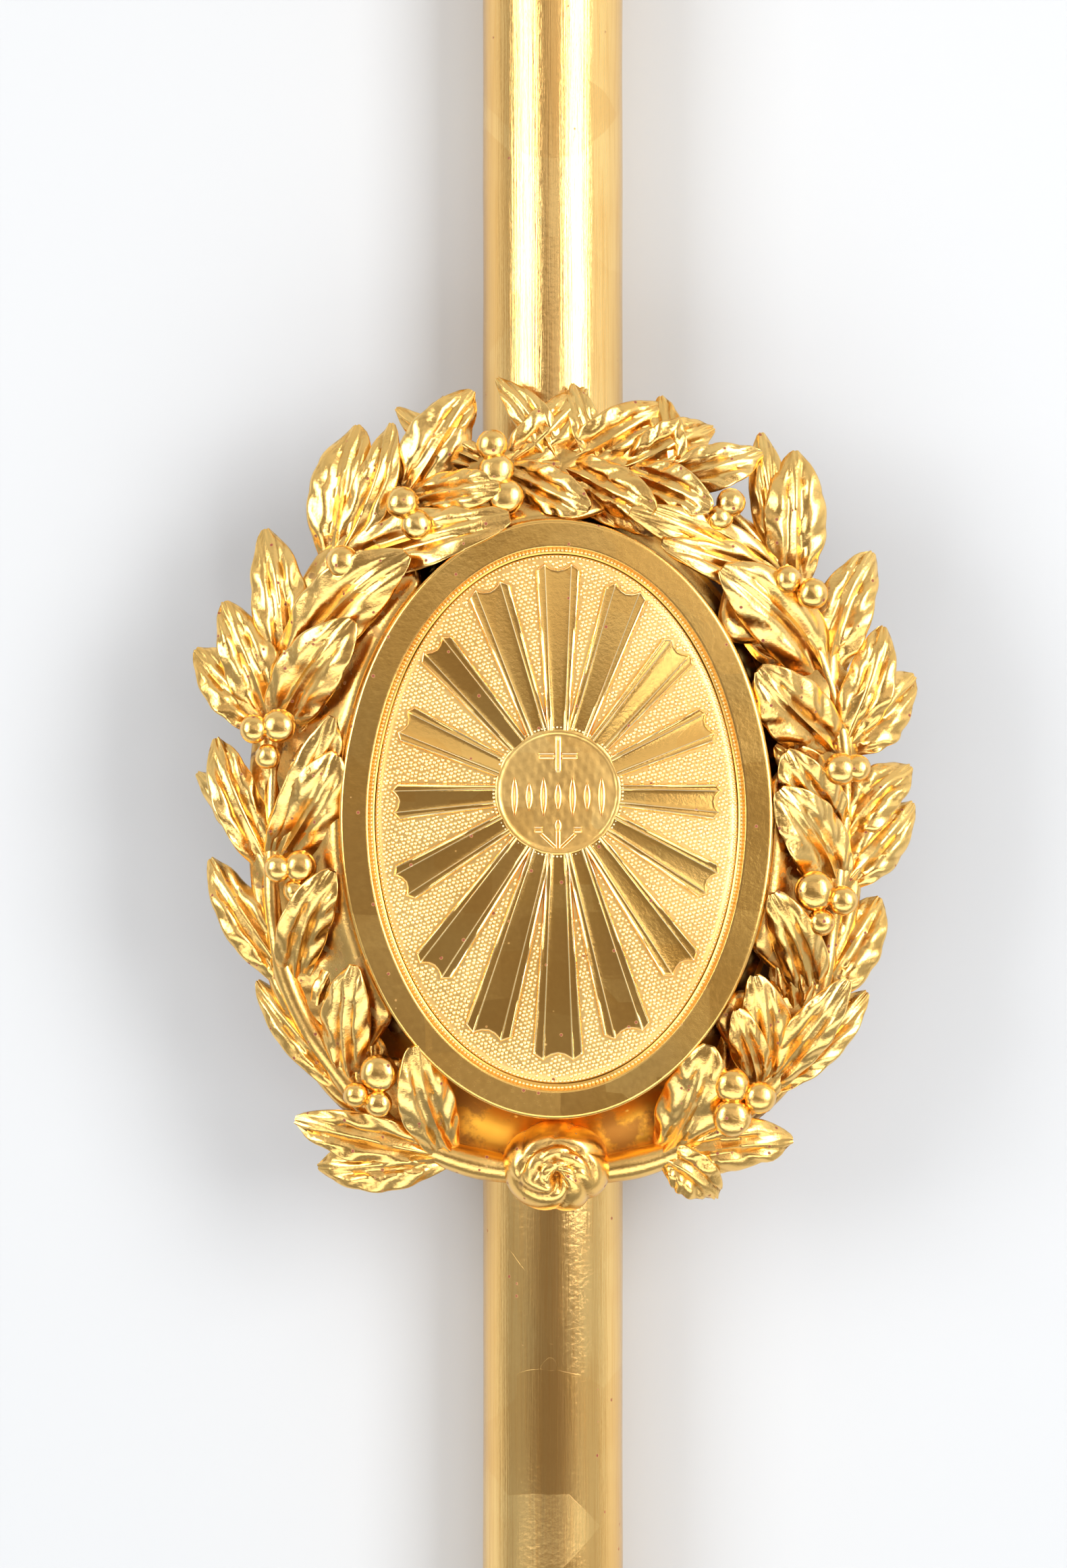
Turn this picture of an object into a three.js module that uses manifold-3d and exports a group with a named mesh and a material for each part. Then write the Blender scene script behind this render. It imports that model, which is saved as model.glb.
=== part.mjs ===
// A gilded wooden processional cross: a round pole with a plain crossbar, and on the pole
// an oval medallion with a sunburst panel inside a carved laurel wreath.
// Millimetres. X is to the right, Y runs from foot to head, Z faces the viewer.
// The cross lies on its back, so Z = 0 is the flat along the back of the pole.
import * as THREE from 'three';
import { mergeVertices } from 'three/addons/utils/BufferGeometryUtils.js';
import Module from 'manifold-3d';

const wasm = await Module();
wasm.setup();

// The pole and the crossbar
const POLE_DIAMETER = 46;
const BACK_FLAT_WIDTH = 12;
const CROSS_LENGTH = 1180;
const CROSSBAR_LENGTH = 600;
const CROSSBAR_BELOW_HEAD = 230;
const END_CHAMFER = 3;
const POLE_SIDES = 36;
const GAP = 0.3;

// The medallion frame, an oval drum with a polished rim and a flange round its back
const MEDALLION_ABOVE_FOOT = 330;
const MEDALLION_RIGHT = 1;
const RIM_WIDTH = 138;
const RIM_HEIGHT = 191;
const RIM_BAND = 9;
const RIM_ROUND = 2;
const BEVEL_WIDTH = 2.2;
const BEVEL_DEPTH = 4;
const DRUM_HEIGHT = 29;
const SEAT_DEPTH = 7;
const FLANGE_WIDTH = 18;
const FLANGE_THICKNESS = 12;
const COVE_DEPTH = 3;
const PANEL_THICKNESS = 10;
const OVAL_SIDES = 40;

// The sunburst panel
const SUN_RIGHT = 0.5;
const SUN_UP = 8.6;
const DISC_DIAMETER = 40;
const DISC_HEIGHT = 1.2;
const RAY_COUNT = 16;
const RAY_INNER_WIDTH = 7;
const RAY_OUTER_WIDTH = 13.5;
const RAY_HEIGHT = 1;
const RAY_MARGIN = 5.2;
const RAY_MARGIN_AT_FOOT = 2.2;
const RAY_SCALLOP = 2.4;
const RAY_LEAN_DOWN = 3.5;
const RAY_LEAN_ASIDE = 7;

// The wreath: two laurel branches tied in a knot below the medallion
const STEM_BESIDE_RIM = 23;
const STEM_BELOW_RIM = 18;
const STEM_FULLNESS = 0.05;
const STEM_DIAMETER = 8.2;
const STEM_RISE = 3;
const GROUND_FROM = 26;
const GROUND_FULL = 48;
const GROUND_TO_RIM = 3;
const GROUND_OUTWARDS = 7;
const LEAF_SIZE = 50;
const LEAF_RIDGE = 0.26;
const LEAF_FALL = 0.15;
const LEAF_KEEL = 0.42;
const LEAF_ARCH = 7;
const INNER_TIP_OVER_RIM = 2.5;
const OUTER_TIP_RISE = 5;
const BERRY_SIZE = 10;
const BERRY_RISE = 10;
const STALK_DIAMETER = 3;
const KNOT_WIDTH = 30;
const KNOT_HEIGHT = 28;
const KNOT_DEPTH = 24;
const KNOT_ABOVE_STEM = 2;
const KNOT_SINK = 2;
const KNOT_TWIST = 1.1;
const KNOT_FOLDS = 5;

// What follows from these sizes
const POLE_RADIUS = POLE_DIAMETER / 2;
const AXIS_Z = Math.sqrt(POLE_RADIUS ** 2 - (BACK_FLAT_WIDTH / 2) ** 2);
const POLE_FRONT = AXIS_Z + POLE_RADIUS;
const CROSSBAR_Y = CROSS_LENGTH / 2 - CROSSBAR_BELOW_HEAD;
const MEDALLION_Y = -CROSS_LENGTH / 2 + MEDALLION_ABOVE_FOOT;
const RIM_FRONT = POLE_FRONT + DRUM_HEIGHT;
const DRUM_BACK = POLE_FRONT - SEAT_DEPTH;
const FLANGE_TOP = DRUM_BACK + FLANGE_THICKNESS;
const FIELD_Z = RIM_FRONT - BEVEL_DEPTH;
const FIELD_INSET = RIM_BAND + BEVEL_WIDTH;
const STEM_Z = FLANGE_TOP + STEM_RISE;
const STEM_HALF_WIDTH = RIM_WIDTH / 2 + STEM_BESIDE_RIM;
const STEM_HALF_HEIGHT = RIM_HEIGHT / 2 + STEM_BELOW_RIM;

// The two branches of the wreath. Each sprig stands at an angle round the oval, counted from
// the knot at 0 to the head at 180. Its leaves are [lean away from the oval in degrees,
// length, width], with a minus sign for a leaf that leans over the rim. Lengths and widths
// are in percent of LEAF_SIZE.
const LEFT_BRANCH = {
  side: -1,
  from: 7,
  to: 206,
  sprigs: [
    { at: 24, leaves: [[31, 78, 32], [10, 94, 28], [-56, 72, 34]] },
    { at: 45, leaves: [[2, 86, 26], [-45, 78, 32]] },
    { at: 65, leaves: [[19, 90, 32], [-40, 74, 32]] },
    { at: 84, leaves: [[39, 72, 28], [22, 84, 32], [-28, 100, 34], [-37, 80, 42]] },
    { at: 106, leaves: [[58, 70, 36], [33, 84, 36], [-30, 82, 40]] },
    { at: 115, leaves: [[26, 90, 36], [-32, 106, 44]] },
    { at: 135, leaves: [[33, 86, 50], [19, 92, 28], [-39, 112, 38]] },
    { at: 151, leaves: [[44, 70, 20], [32, 80, 40], [-24, 58, 28]] },
    { at: 168, leaves: [[138, 77, 22]] },
    { at: 172, leaves: [[43, 68, 32], [-38, 56, 30]] },
    { at: 180, leaves: [[124, 69, 24]] },
    { at: 184, leaves: [[36, 70, 34], [-29, 60, 32]] },
    { at: 188, leaves: [[112, 57, 20]] },
    { at: 196, leaves: [[45, 58, 32], [-14, 54, 30]] },
    { at: 203, leaves: [[117, 58, 26], [40, 62, 30]] },
  ],
};
const RIGHT_BRANCH = {
  side: 1,
  from: 7,
  to: 146,
  sprigs: [
    { at: 24, leaves: [[72, 40, 28], [17, 76, 34], [-52, 74, 40]] },
    { at: 45, leaves: [[9, 86, 30], [-3, 84, 28], [-64, 54, 24], [-48, 72, 32]] },
    { at: 62, leaves: [[15, 72, 40], [-45, 72, 32]] },
    { at: 81, leaves: [[41, 66, 34], [-42, 70, 40]] },
    { at: 89, leaves: [[49, 58, 34], [-40, 62, 36]] },
    { at: 103, leaves: [[57, 64, 40], [29, 78, 32], [-43, 70, 42]] },
    { at: 115, leaves: [[40, 80, 38], [-32, 92, 44]] },
    { at: 130, leaves: [[23, 98, 28], [36, 84, 40], [-42, 86, 28], [-35, 112, 30]] },
  ],
};

// Berries in bunches: [angle round the oval, distance outside the stem, diameter], the last
// two in percent of BERRY_SIZE.
LEFT_BRANCH.berries = [
  [43, -80, 115], [37, -30, 80], [42, 30, 80],
  [82, -70, 105], [82, 10, 80], [77, -40, 80],
  [105, 20, 110], [106, -50, 85], [101, 30, 75],
  [133, 0, 80], [131, 70, 65],
  [149, 30, 100], [149, -70, 105],
  [168, 100, 90], [168, 20, 110], [169, -70, 110],
];
RIGHT_BRANCH.berries = [
  [40, -80, 115], [42, 20, 110], [36, -10, 110],
  [78, -60, 130], [77, 40, 95], [72, -30, 95],
  [98, -10, 105], [98, 60, 80],
  [127, 80, 105], [128, 0, 80],
  [144, 40, 105],
];

/** Turns a closed geometry into a solid that can be joined and cut. */
function solidOf(geometry) {
  const bare = geometry.clone();
  bare.deleteAttribute('normal');
  bare.deleteAttribute('uv');
  const merged = mergeVertices(bare, 1e-4);
  return new wasm.Manifold(new wasm.Mesh({
    numProp: 3,
    vertProperties: merged.attributes.position.array,
    triVerts: new Uint32Array(merged.index.array),
  }));
}

/** Turns a solid back into a geometry with flat faces. */
function geometryOf(solid) {
  const mesh = solid.getMesh();
  const indexed = new THREE.BufferGeometry();
  indexed.setAttribute('position', new THREE.BufferAttribute(mesh.vertProperties, 3));
  indexed.setIndex(new THREE.BufferAttribute(mesh.triVerts, 1));
  const geometry = indexed.toNonIndexed();
  geometry.computeVertexNormals();
  return geometry;
}

/** Skins a row of rings, closed by a point or a flat cap at each end. */
function skinRings(rings) {
  const points = rings.flat();
  const starts = [];
  let count = 0;
  for (const ring of rings) {
    starts.push(count);
    count += ring.length;
  }
  const faces = [];
  for (let row = 0; row + 1 < rings.length; row += 1) {
    const near = rings[row].length;
    const far = rings[row + 1].length;
    const sides = Math.max(near, far);
    for (let side = 0; side < sides; side += 1) {
      const a = starts[row] + (side % near);
      const b = starts[row] + ((side + 1) % near);
      const c = starts[row + 1] + (side % far);
      const d = starts[row + 1] + ((side + 1) % far);
      if (near > 1) faces.push(a, b, c);
      if (far > 1) faces.push(b, d, c);
    }
  }
  const last = rings.length - 1;
  for (let side = 1; side + 1 < rings[0].length; side += 1) {
    faces.push(starts[0], starts[0] + side + 1, starts[0] + side);
  }
  for (let side = 1; side + 1 < rings[last].length; side += 1) {
    faces.push(starts[last], starts[last] + side, starts[last] + side + 1);
  }
  const geometry = new THREE.BufferGeometry().setFromPoints(points);
  geometry.setIndex(faces);
  return geometry;
}

/** A round bar along Y at the height of the pole's axis, with chamfered ends. */
function roundBar(length, radius) {
  const half = length / 2;
  const profile = [
    new THREE.Vector2(0, -half),
    new THREE.Vector2(radius - END_CHAMFER, -half),
    new THREE.Vector2(radius, -half + END_CHAMFER),
    new THREE.Vector2(radius, half - END_CHAMFER),
    new THREE.Vector2(radius - END_CHAMFER, half),
    new THREE.Vector2(0, half),
  ];
  return solidOf(new THREE.LatheGeometry(profile, POLE_SIDES)).translate([0, 0, AXIS_Z]);
}

/** A box given by its middle and its size. */
function block(middle, size) {
  return solidOf(new THREE.BoxGeometry(...size)).translate(middle);
}

/** Planes the flat that lets a round bar lie still. */
function withBackFlat(bar) {
  const depth = POLE_DIAMETER;
  const reach = 2 * CROSS_LENGTH;
  return bar.subtract(block([0, 0, -depth / 2], [reach, reach, depth]));
}

const pole = roundBar(CROSS_LENGTH, POLE_RADIUS);
const bar = roundBar(CROSSBAR_LENGTH, POLE_RADIUS).rotate([0, 0, 90]).translate([0, CROSSBAR_Y, 0]);

/** The pole: its front half is notched where the crossbar lies across it. */
function makeUpright() {
  const barWithGap = roundBar(CROSSBAR_LENGTH, POLE_RADIUS + GAP)
    .rotate([0, 0, 90])
    .translate([0, CROSSBAR_Y, 0]);
  const front = block(
    [0, CROSSBAR_Y, AXIS_Z - GAP / 2 + POLE_DIAMETER / 2],
    [CROSSBAR_LENGTH, CROSSBAR_LENGTH, POLE_DIAMETER],
  );
  return withBackFlat(pole.subtract(barWithGap.intersect(front)));
}

/** The crossbar: its back half is notched to fit over the pole. */
function makeCrossbar() {
  const poleWithGap = roundBar(CROSS_LENGTH, POLE_RADIUS + GAP);
  const back = block(
    [0, CROSSBAR_Y, AXIS_Z + GAP / 2 - POLE_DIAMETER / 2],
    [CROSSBAR_LENGTH, CROSSBAR_LENGTH, POLE_DIAMETER],
  );
  return withBackFlat(bar.subtract(poleWithGap.intersect(back)));
}

/** One ring round the medallion, set out from the edge of the rim, at a height. */
function ovalRing(outset, z) {
  const ring = [];
  for (let side = 0; side < OVAL_SIDES; side += 1) {
    const angle = (side / OVAL_SIDES) * 2 * Math.PI;
    const x = (RIM_WIDTH / 2 + outset) * Math.cos(angle);
    const y = (RIM_HEIGHT / 2 + outset) * Math.sin(angle);
    ring.push(new THREE.Vector3(x, y, z));
  }
  return ring;
}

/** The oval drum: flange, cove, rounded rim, bevel, and a recess for the panel. */
function makeMedallionFrame(clearance) {
  const waist = -COVE_DEPTH + clearance;
  const rimSide = RIM_FRONT - RIM_ROUND;
  const coveFoot = FLANGE_TOP + clearance;
  const coveHeight = rimSide - coveFoot;
  const recessFloor = FIELD_Z - PANEL_THICKNESS;
  const roundShare = 1 - Math.SQRT1_2;
  return solidOf(skinRings([
    ovalRing(FLANGE_WIDTH - 1 + clearance, DRUM_BACK - clearance),
    ovalRing(FLANGE_WIDTH + clearance, DRUM_BACK + 1),
    ovalRing(FLANGE_WIDTH + clearance, FLANGE_TOP - 1 + clearance),
    ovalRing(FLANGE_WIDTH - 1 + clearance, coveFoot),
    ovalRing(COVE_DEPTH + clearance, coveFoot + coveHeight * 0.06),
    ovalRing(waist + 1, coveFoot + coveHeight * 0.25),
    ovalRing(waist, coveFoot + coveHeight * 0.5),
    ovalRing(waist + 1, coveFoot + coveHeight * 0.8),
    ovalRing(clearance, rimSide),
    ovalRing(clearance - RIM_ROUND * roundShare, RIM_FRONT - RIM_ROUND * roundShare + clearance),
    ovalRing(-RIM_ROUND, RIM_FRONT + clearance),
    ovalRing(-RIM_BAND, RIM_FRONT + clearance),
    ovalRing(-RIM_BAND - BEVEL_WIDTH * 0.4, RIM_FRONT - BEVEL_DEPTH * 0.7 + clearance),
    ovalRing(-FIELD_INSET, FIELD_Z + clearance),
    ovalRing(-FIELD_INSET, recessFloor),
  ]));
}

/** The frame is hollowed over the front half of the pole and sits on it. */
function seatOnPole(solid) {
  const poleWithGap = roundBar(CROSS_LENGTH, POLE_RADIUS + GAP);
  return solid.subtract(poleWithGap.translate([-MEDALLION_RIGHT, 0, 0]));
}

/** How far a ray from the middle of the sun runs to the edge of the field. */
function fieldReach(angle) {
  const a = RIM_WIDTH / 2 - FIELD_INSET;
  const b = RIM_HEIGHT / 2 - FIELD_INSET;
  const ux = Math.sin(angle);
  const uy = Math.cos(angle);
  const square = (ux / a) ** 2 + (uy / b) ** 2;
  const cross = (SUN_RIGHT * ux) / a ** 2 + (SUN_UP * uy) / b ** 2;
  const rest = (SUN_RIGHT / a) ** 2 + (SUN_UP / b) ** 2 - 1;
  return (-cross + Math.sqrt(cross ** 2 - square * rest)) / square;
}

/** Directions of the rays from the head, clockwise: closer together towards the foot. */
function rayAngle(index) {
  const even = (index / RAY_COUNT) * 2 * Math.PI;
  const lean = RAY_LEAN_DOWN * Math.sin(even) - RAY_LEAN_ASIDE * Math.sin(2 * even);
  return even + (lean * Math.PI) / 180;
}

/** One ray: it widens outwards and ends in two ears with a scallop between them. */
function makeRay(angle) {
  const start = DISC_DIAMETER / 2 - 1;
  const end = fieldReach(angle) - RAY_MARGIN + RAY_MARGIN_AT_FOOT * Math.cos(angle);
  const inner = RAY_INNER_WIDTH / 2;
  const outer = RAY_OUTER_WIDTH / 2;
  const outline = new THREE.Shape();
  outline.moveTo(-inner, start);
  outline.lineTo(inner, start);
  outline.lineTo(outer, end - RAY_SCALLOP);
  outline.lineTo(outer * 0.7, end);
  outline.quadraticCurveTo(0, end - 2 * RAY_SCALLOP, -outer * 0.7, end);
  outline.lineTo(-outer, end - RAY_SCALLOP);
  const ray = new THREE.ExtrudeGeometry(outline, {
    depth: RAY_HEIGHT + 1,
    bevelEnabled: false,
    curveSegments: 4,
  });
  return solidOf(ray)
    .rotate([0, 0, (-angle * 180) / Math.PI])
    .translate([SUN_RIGHT, SUN_UP, FIELD_Z - 1]);
}

/** The oval panel with its raised disc and rays. */
function makeMedallionPanel() {
  const back = FIELD_Z - PANEL_THICKNESS + GAP;
  let panel = solidOf(skinRings([
    ovalRing(-FIELD_INSET - GAP, back),
    ovalRing(-FIELD_INSET - GAP, FIELD_Z),
  ]));
  const disc = new THREE.CylinderGeometry(
    DISC_DIAMETER / 2,
    DISC_DIAMETER / 2,
    DISC_HEIGHT + 1,
    POLE_SIDES,
  );
  panel = panel.add(
    solidOf(disc.rotateX(Math.PI / 2)).translate([SUN_RIGHT, SUN_UP, FIELD_Z + (DISC_HEIGHT - 1) / 2]),
  );
  for (let index = 0; index < RAY_COUNT; index += 1) {
    panel = panel.add(makeRay(rayAngle(index)));
  }
  return panel;
}

/** A point of the stem, and the way it grows there, at an angle counted from the knot. */
function stemAt(side, degrees, outset = 0) {
  const t = (degrees * Math.PI) / 180;
  const point = (angle) => {
    const full = 1 + STEM_FULLNESS * Math.sin(2 * angle) ** 2;
    const x = side * STEM_HALF_WIDTH * full * Math.sin(angle);
    const y = -STEM_HALF_HEIGHT * full * Math.cos(angle);
    return new THREE.Vector3(x, y, STEM_Z);
  };
  const step = 0.01;
  const along = point(t + step).sub(point(t - step)).normalize();
  const outwards = new THREE.Vector3(along.y * side, -along.x * side, 0);
  return { place: point(t).addScaledVector(outwards, outset), along, outwards };
}

/** A stem along one side of the oval: bare and round near the knot, then flat and broad
 * where it becomes the carved ground between the leaves and the rim, and thin again at its end. */
function makeStem(branch) {
  const rows = 20;
  const corners = 6;
  const run = branch.to - branch.from;
  const rings = [];
  for (let row = 0; row <= rows; row += 1) {
    const degrees = branch.from + (run * row) / rows;
    const { place, outwards } = stemAt(branch.side, degrees);
    const angle = THREE.MathUtils.degToRad(degrees);
    const rim = new THREE.Vector3(
      (branch.side * Math.sin(angle) * RIM_WIDTH) / 2,
      (-Math.cos(angle) * RIM_HEIGHT) / 2,
      STEM_Z,
    );
    const inwardReach = place.distanceTo(rim) - GROUND_TO_RIM;
    const opening = THREE.MathUtils.smoothstep(degrees, GROUND_FROM, GROUND_FULL);
    const closing = 1 - THREE.MathUtils.smoothstep(degrees, branch.to - run / 8, branch.to);
    const broad = opening * closing;
    const height = (STEM_DIAMETER / 2) * (0.6 + 0.4 * closing);
    const ring = [];
    for (let corner = 0; corner < corners; corner += 1) {
      const turn = (corner / corners) * 2 * Math.PI;
      const inwards = Math.cos(turn);
      const reach = inwards > 0 === branch.side > 0 ? inwardReach : GROUND_OUTWARDS;
      const half = THREE.MathUtils.lerp(height, reach, broad);
      ring.push(place.clone()
        .addScaledVector(outwards, -branch.side * half * inwards)
        .add(new THREE.Vector3(0, 0, height * Math.sin(turn))));
    }
    rings.push(ring);
  }
  return solidOf(skinRings(rings));
}

/** One pointed leaf with a raised midrib, from its root to its tip. */
function makeLeaf(root, tip, width, arch) {
  const rows = [[0, 0.42], [0.27, 0.9], [0.54, 1.02], [0.8, 0.74]];
  const middle = root.clone().lerp(tip, 0.5).add(new THREE.Vector3(0, 0, arch));
  const curve = new THREE.QuadraticBezierCurve3(root, middle, tip);
  const up = new THREE.Vector3(0, 0, 1);
  const rings = rows.map(([share, wide]) => {
    const along = curve.getTangent(share);
    const across = new THREE.Vector3().crossVectors(along, up).normalize();
    const outOf = new THREE.Vector3().crossVectors(across, along);
    const half = (width / 2) * wide;
    const at = (sideways, raised) => curve.getPoint(share)
      .addScaledVector(across, half * sideways)
      .addScaledVector(outOf, half * raised);
    return [at(-1, -LEAF_FALL), at(0, LEAF_RIDGE), at(1, -LEAF_FALL), at(0, -LEAF_KEEL)];
  });
  rings.push([tip]);
  return solidOf(skinRings(rings));
}

/** The leaves of one sprig: inner ones climb over the rim, outer ones stand off the oval. */
function makeSprig(side, sprig) {
  return sprig.leaves.map(([lean, lengthShare, widthShare], index) => {
    const { place, along, outwards } = stemAt(side, sprig.at);
    const length = (LEAF_SIZE * lengthShare) / 100;
    const width = (LEAF_SIZE * widthShare) / 100;
    const angle = (lean * Math.PI) / 180;
    const tip = place.clone()
      .addScaledVector(along, length * Math.cos(angle))
      .addScaledVector(outwards, length * Math.sin(angle));
    tip.z = lean < 0 ? RIM_FRONT + INNER_TIP_OVER_RIM : STEM_Z + OUTER_TIP_RISE * (index - 1);
    const arch = lean < 0 ? LEAF_ARCH : 1.6 * LEAF_ARCH;
    return makeLeaf(place, tip, width, arch);
  });
}

/** A berry on a short stalk from the stem. */
function makeBerry(side, [degrees, outShare, sizeShare]) {
  const { place } = stemAt(side, degrees, (BERRY_SIZE * outShare) / 100);
  const foot = stemAt(side, degrees).place;
  const radius = (BERRY_SIZE * sizeShare) / 200;
  place.z += BERRY_RISE;
  const berry = new THREE.OctahedronGeometry(radius, 1).translate(place.x, place.y, place.z);
  const run = place.clone().sub(foot);
  const stalk = new THREE.CylinderGeometry(STALK_DIAMETER / 2, STALK_DIAMETER / 2, run.length(), 4)
    .translate(0, run.length() / 2, 0)
    .applyQuaternion(new THREE.Quaternion().setFromUnitVectors(
      new THREE.Vector3(0, 1, 0),
      run.clone().normalize(),
    ))
    .translate(foot.x, foot.y, foot.z);
  return solidOf(berry).add(solidOf(stalk));
}

/** The knot: a boss of twisted folds where the two stems are tied. */
function makeKnot() {
  const columns = 20;
  const rows = 7;
  const centre = new THREE.Vector3(
    0,
    KNOT_ABOVE_STEM - STEM_HALF_HEIGHT,
    POLE_FRONT + KNOT_DEPTH / 2 - KNOT_SINK,
  );
  const rings = [[new THREE.Vector3(0, 0, -1)]];
  for (let row = 1; row < rows; row += 1) {
    const polar = Math.PI * (1 - row / rows);
    const ring = [];
    for (let column = 0; column < columns; column += 1) {
      const angle = (column / columns) * 2 * Math.PI;
      const fold = 1 + 0.07 * Math.sin(KNOT_FOLDS * angle + KNOT_TWIST * KNOT_FOLDS * polar);
      const reach = Math.sin(polar) ** 0.8 * fold;
      ring.push(new THREE.Vector3(
        reach * Math.cos(angle),
        reach * Math.sin(angle),
        Math.cos(polar),
      ));
    }
    rings.push(ring);
  }
  rings.push([new THREE.Vector3(0, 0, 0.82)]);
  for (const point of rings.flat()) {
    point.multiply(new THREE.Vector3(KNOT_WIDTH / 2, KNOT_HEIGHT / 2, KNOT_DEPTH / 2)).add(centre);
  }
  return solidOf(skinRings(rings));
}

/** The whole wreath, carved as one, fitted round the medallion and onto the pole. */
function makeWreath() {
  const carved = [makeKnot()];
  for (const branch of [LEFT_BRANCH, RIGHT_BRANCH]) {
    carved.push(makeStem(branch));
    carved.push(...branch.sprigs.flatMap((sprig) => makeSprig(branch.side, sprig)));
    carved.push(...branch.berries.map((berry) => makeBerry(branch.side, berry)));
  }
  let wreath = carved[0];
  for (const form of carved.slice(1)) {
    wreath = wreath.add(form);
  }
  const room = makeMedallionFrame(GAP);
  return seatOnPole(wreath.subtract(room));
}

const gilding = { color: 0xc89a3c, metalness: 1 };

/** Adds one named piece to a group. */
function addPiece(group, name, solid, finish) {
  const material = new THREE.MeshStandardMaterial({ ...gilding, ...finish });
  const piece = new THREE.Mesh(geometryOf(solid), material);
  piece.name = name;
  group.add(piece);
}

const cross = new THREE.Group();
addPiece(cross, 'upright', makeUpright(), { roughness: 0.2 });
addPiece(cross, 'crossbar', makeCrossbar(), { roughness: 0.2 });

const medallion = new THREE.Group();
medallion.position.set(MEDALLION_RIGHT, MEDALLION_Y, 0);
addPiece(medallion, 'medallion_frame', seatOnPole(makeMedallionFrame(0)), { roughness: 0.2 });
addPiece(medallion, 'medallion_panel', makeMedallionPanel(), { roughness: 0.3 });
addPiece(medallion, 'wreath', makeWreath(), { roughness: 0.3 });
cross.add(medallion);

export default cross;
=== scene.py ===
# %% [markdown]
# # A gilded processional cross
# The cross lies on its back: a round gilded pole with a plain crossbar and, near the foot, an
# oval medallion in a carved laurel wreath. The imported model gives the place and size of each
# piece. This lesson dresses each of them with a finer mesh and a gilded finish.

import math

import bmesh
import bpy
import numpy as np
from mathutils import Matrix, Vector


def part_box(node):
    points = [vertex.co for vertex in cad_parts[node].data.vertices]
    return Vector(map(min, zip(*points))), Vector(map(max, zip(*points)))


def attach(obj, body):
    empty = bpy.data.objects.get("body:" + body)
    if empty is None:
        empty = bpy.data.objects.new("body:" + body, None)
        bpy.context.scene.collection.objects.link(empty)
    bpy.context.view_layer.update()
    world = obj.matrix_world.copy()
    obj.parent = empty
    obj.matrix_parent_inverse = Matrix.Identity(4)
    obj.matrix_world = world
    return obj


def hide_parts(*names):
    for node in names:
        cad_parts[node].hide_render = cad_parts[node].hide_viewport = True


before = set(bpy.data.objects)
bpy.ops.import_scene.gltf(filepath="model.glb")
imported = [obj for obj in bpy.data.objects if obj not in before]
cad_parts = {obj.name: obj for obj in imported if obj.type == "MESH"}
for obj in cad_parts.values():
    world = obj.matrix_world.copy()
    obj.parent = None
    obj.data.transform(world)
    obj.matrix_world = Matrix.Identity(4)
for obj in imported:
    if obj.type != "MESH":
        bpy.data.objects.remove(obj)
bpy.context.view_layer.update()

# %% [markdown]
# ## Sizes
# Everything is worked out in millimetres, with X and Y counted from the medallion's middle, and
# turned into metres only when a mesh is made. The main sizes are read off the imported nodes, so
# the dressed pieces follow the model. Only the small forms have sizes of their own.

# %% Sizes read from the frame
MM = 0.001
GAP = 0.3


def node_box(node):
    """Lowest and highest corner of a node, in millimetres."""
    low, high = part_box(node)
    return np.array(low) / MM, np.array(high) / MM


pole_low, pole_high = node_box("upright")
bar_low, bar_high = node_box("crossbar")
frame_low, frame_high = node_box("medallion_frame")
wreath_top = node_box("wreath")[1][2]
panel_low, panel_high = node_box("medallion_panel")

POLE_RADIUS = (pole_high[0] - pole_low[0]) / 2
POLE_FRONT = pole_high[2]
AXIS_Z = POLE_FRONT - POLE_RADIUS
CROSSBAR_Y = (bar_low[1] + bar_high[1]) / 2
END_CHAMFER = 3

MEDALLION_X = (frame_low[0] + frame_high[0]) / 2
MEDALLION_Y = (frame_low[1] + frame_high[1]) / 2
FLANGE_WIDTH = 18
RIM_A = (frame_high[0] - frame_low[0]) / 2 - FLANGE_WIDTH
RIM_B = (frame_high[1] - frame_low[1]) / 2 - FLANGE_WIDTH
RIM_FRONT = frame_high[2]
DRUM_BACK = frame_low[2]
BEVEL_DEPTH = 4
FIELD_Z = RIM_FRONT - BEVEL_DEPTH
FIELD_INSET = RIM_A - (panel_high[0] - panel_low[0]) / 2 - GAP
print("rim", 2 * RIM_A, "x", 2 * RIM_B, "field inset", round(FIELD_INSET, 2))

# %% [markdown]
# ## Mesh helpers
# Most pieces here are skins over rings or grids of points, so they are built from arrays. A
# smooth ripple, a sum of a few sine waves in fixed directions, gives the slight unevenness that
# hand-rubbed gesso has, and it is the same on each run.

# %% A ripple and a smooth step
RIPPLE_WAVES = 5
RIPPLE_REACH = 2.6


def ripple(points, wavelength, seed):
    """A smooth wave field between about -1 and 1 over an (N, 3) array of points."""
    draw = np.random.default_rng(seed)
    total = np.zeros(len(points))
    for _ in range(RIPPLE_WAVES):
        direction = draw.normal(size=3)
        direction /= np.linalg.norm(direction)
        length = wavelength * draw.uniform(0.6, 1.5)
        total += np.sin(points @ direction * 2 * math.pi / length + draw.uniform(0, 6.28))
    return total / RIPPLE_REACH


def smoothstep(low, high, value):
    """0 below low, 1 above high, and a smooth rise between."""
    share = np.clip((np.asarray(value, dtype=float) - low) / (high - low), 0, 1)
    return share * share * (3 - 2 * share)


# %% [markdown]
# ## Skins and slabs
# Two kinds of closed surface are enough for the whole cross. A skin goes over a row of rings, as
# on a turned pole, a swept rim or a leaf. A slab is a raised sheet with upright sides, as for low
# relief on a board. Modifiers could make both, but arrays keep every point tied to a size.

# %% Faces for skins and slabs


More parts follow.
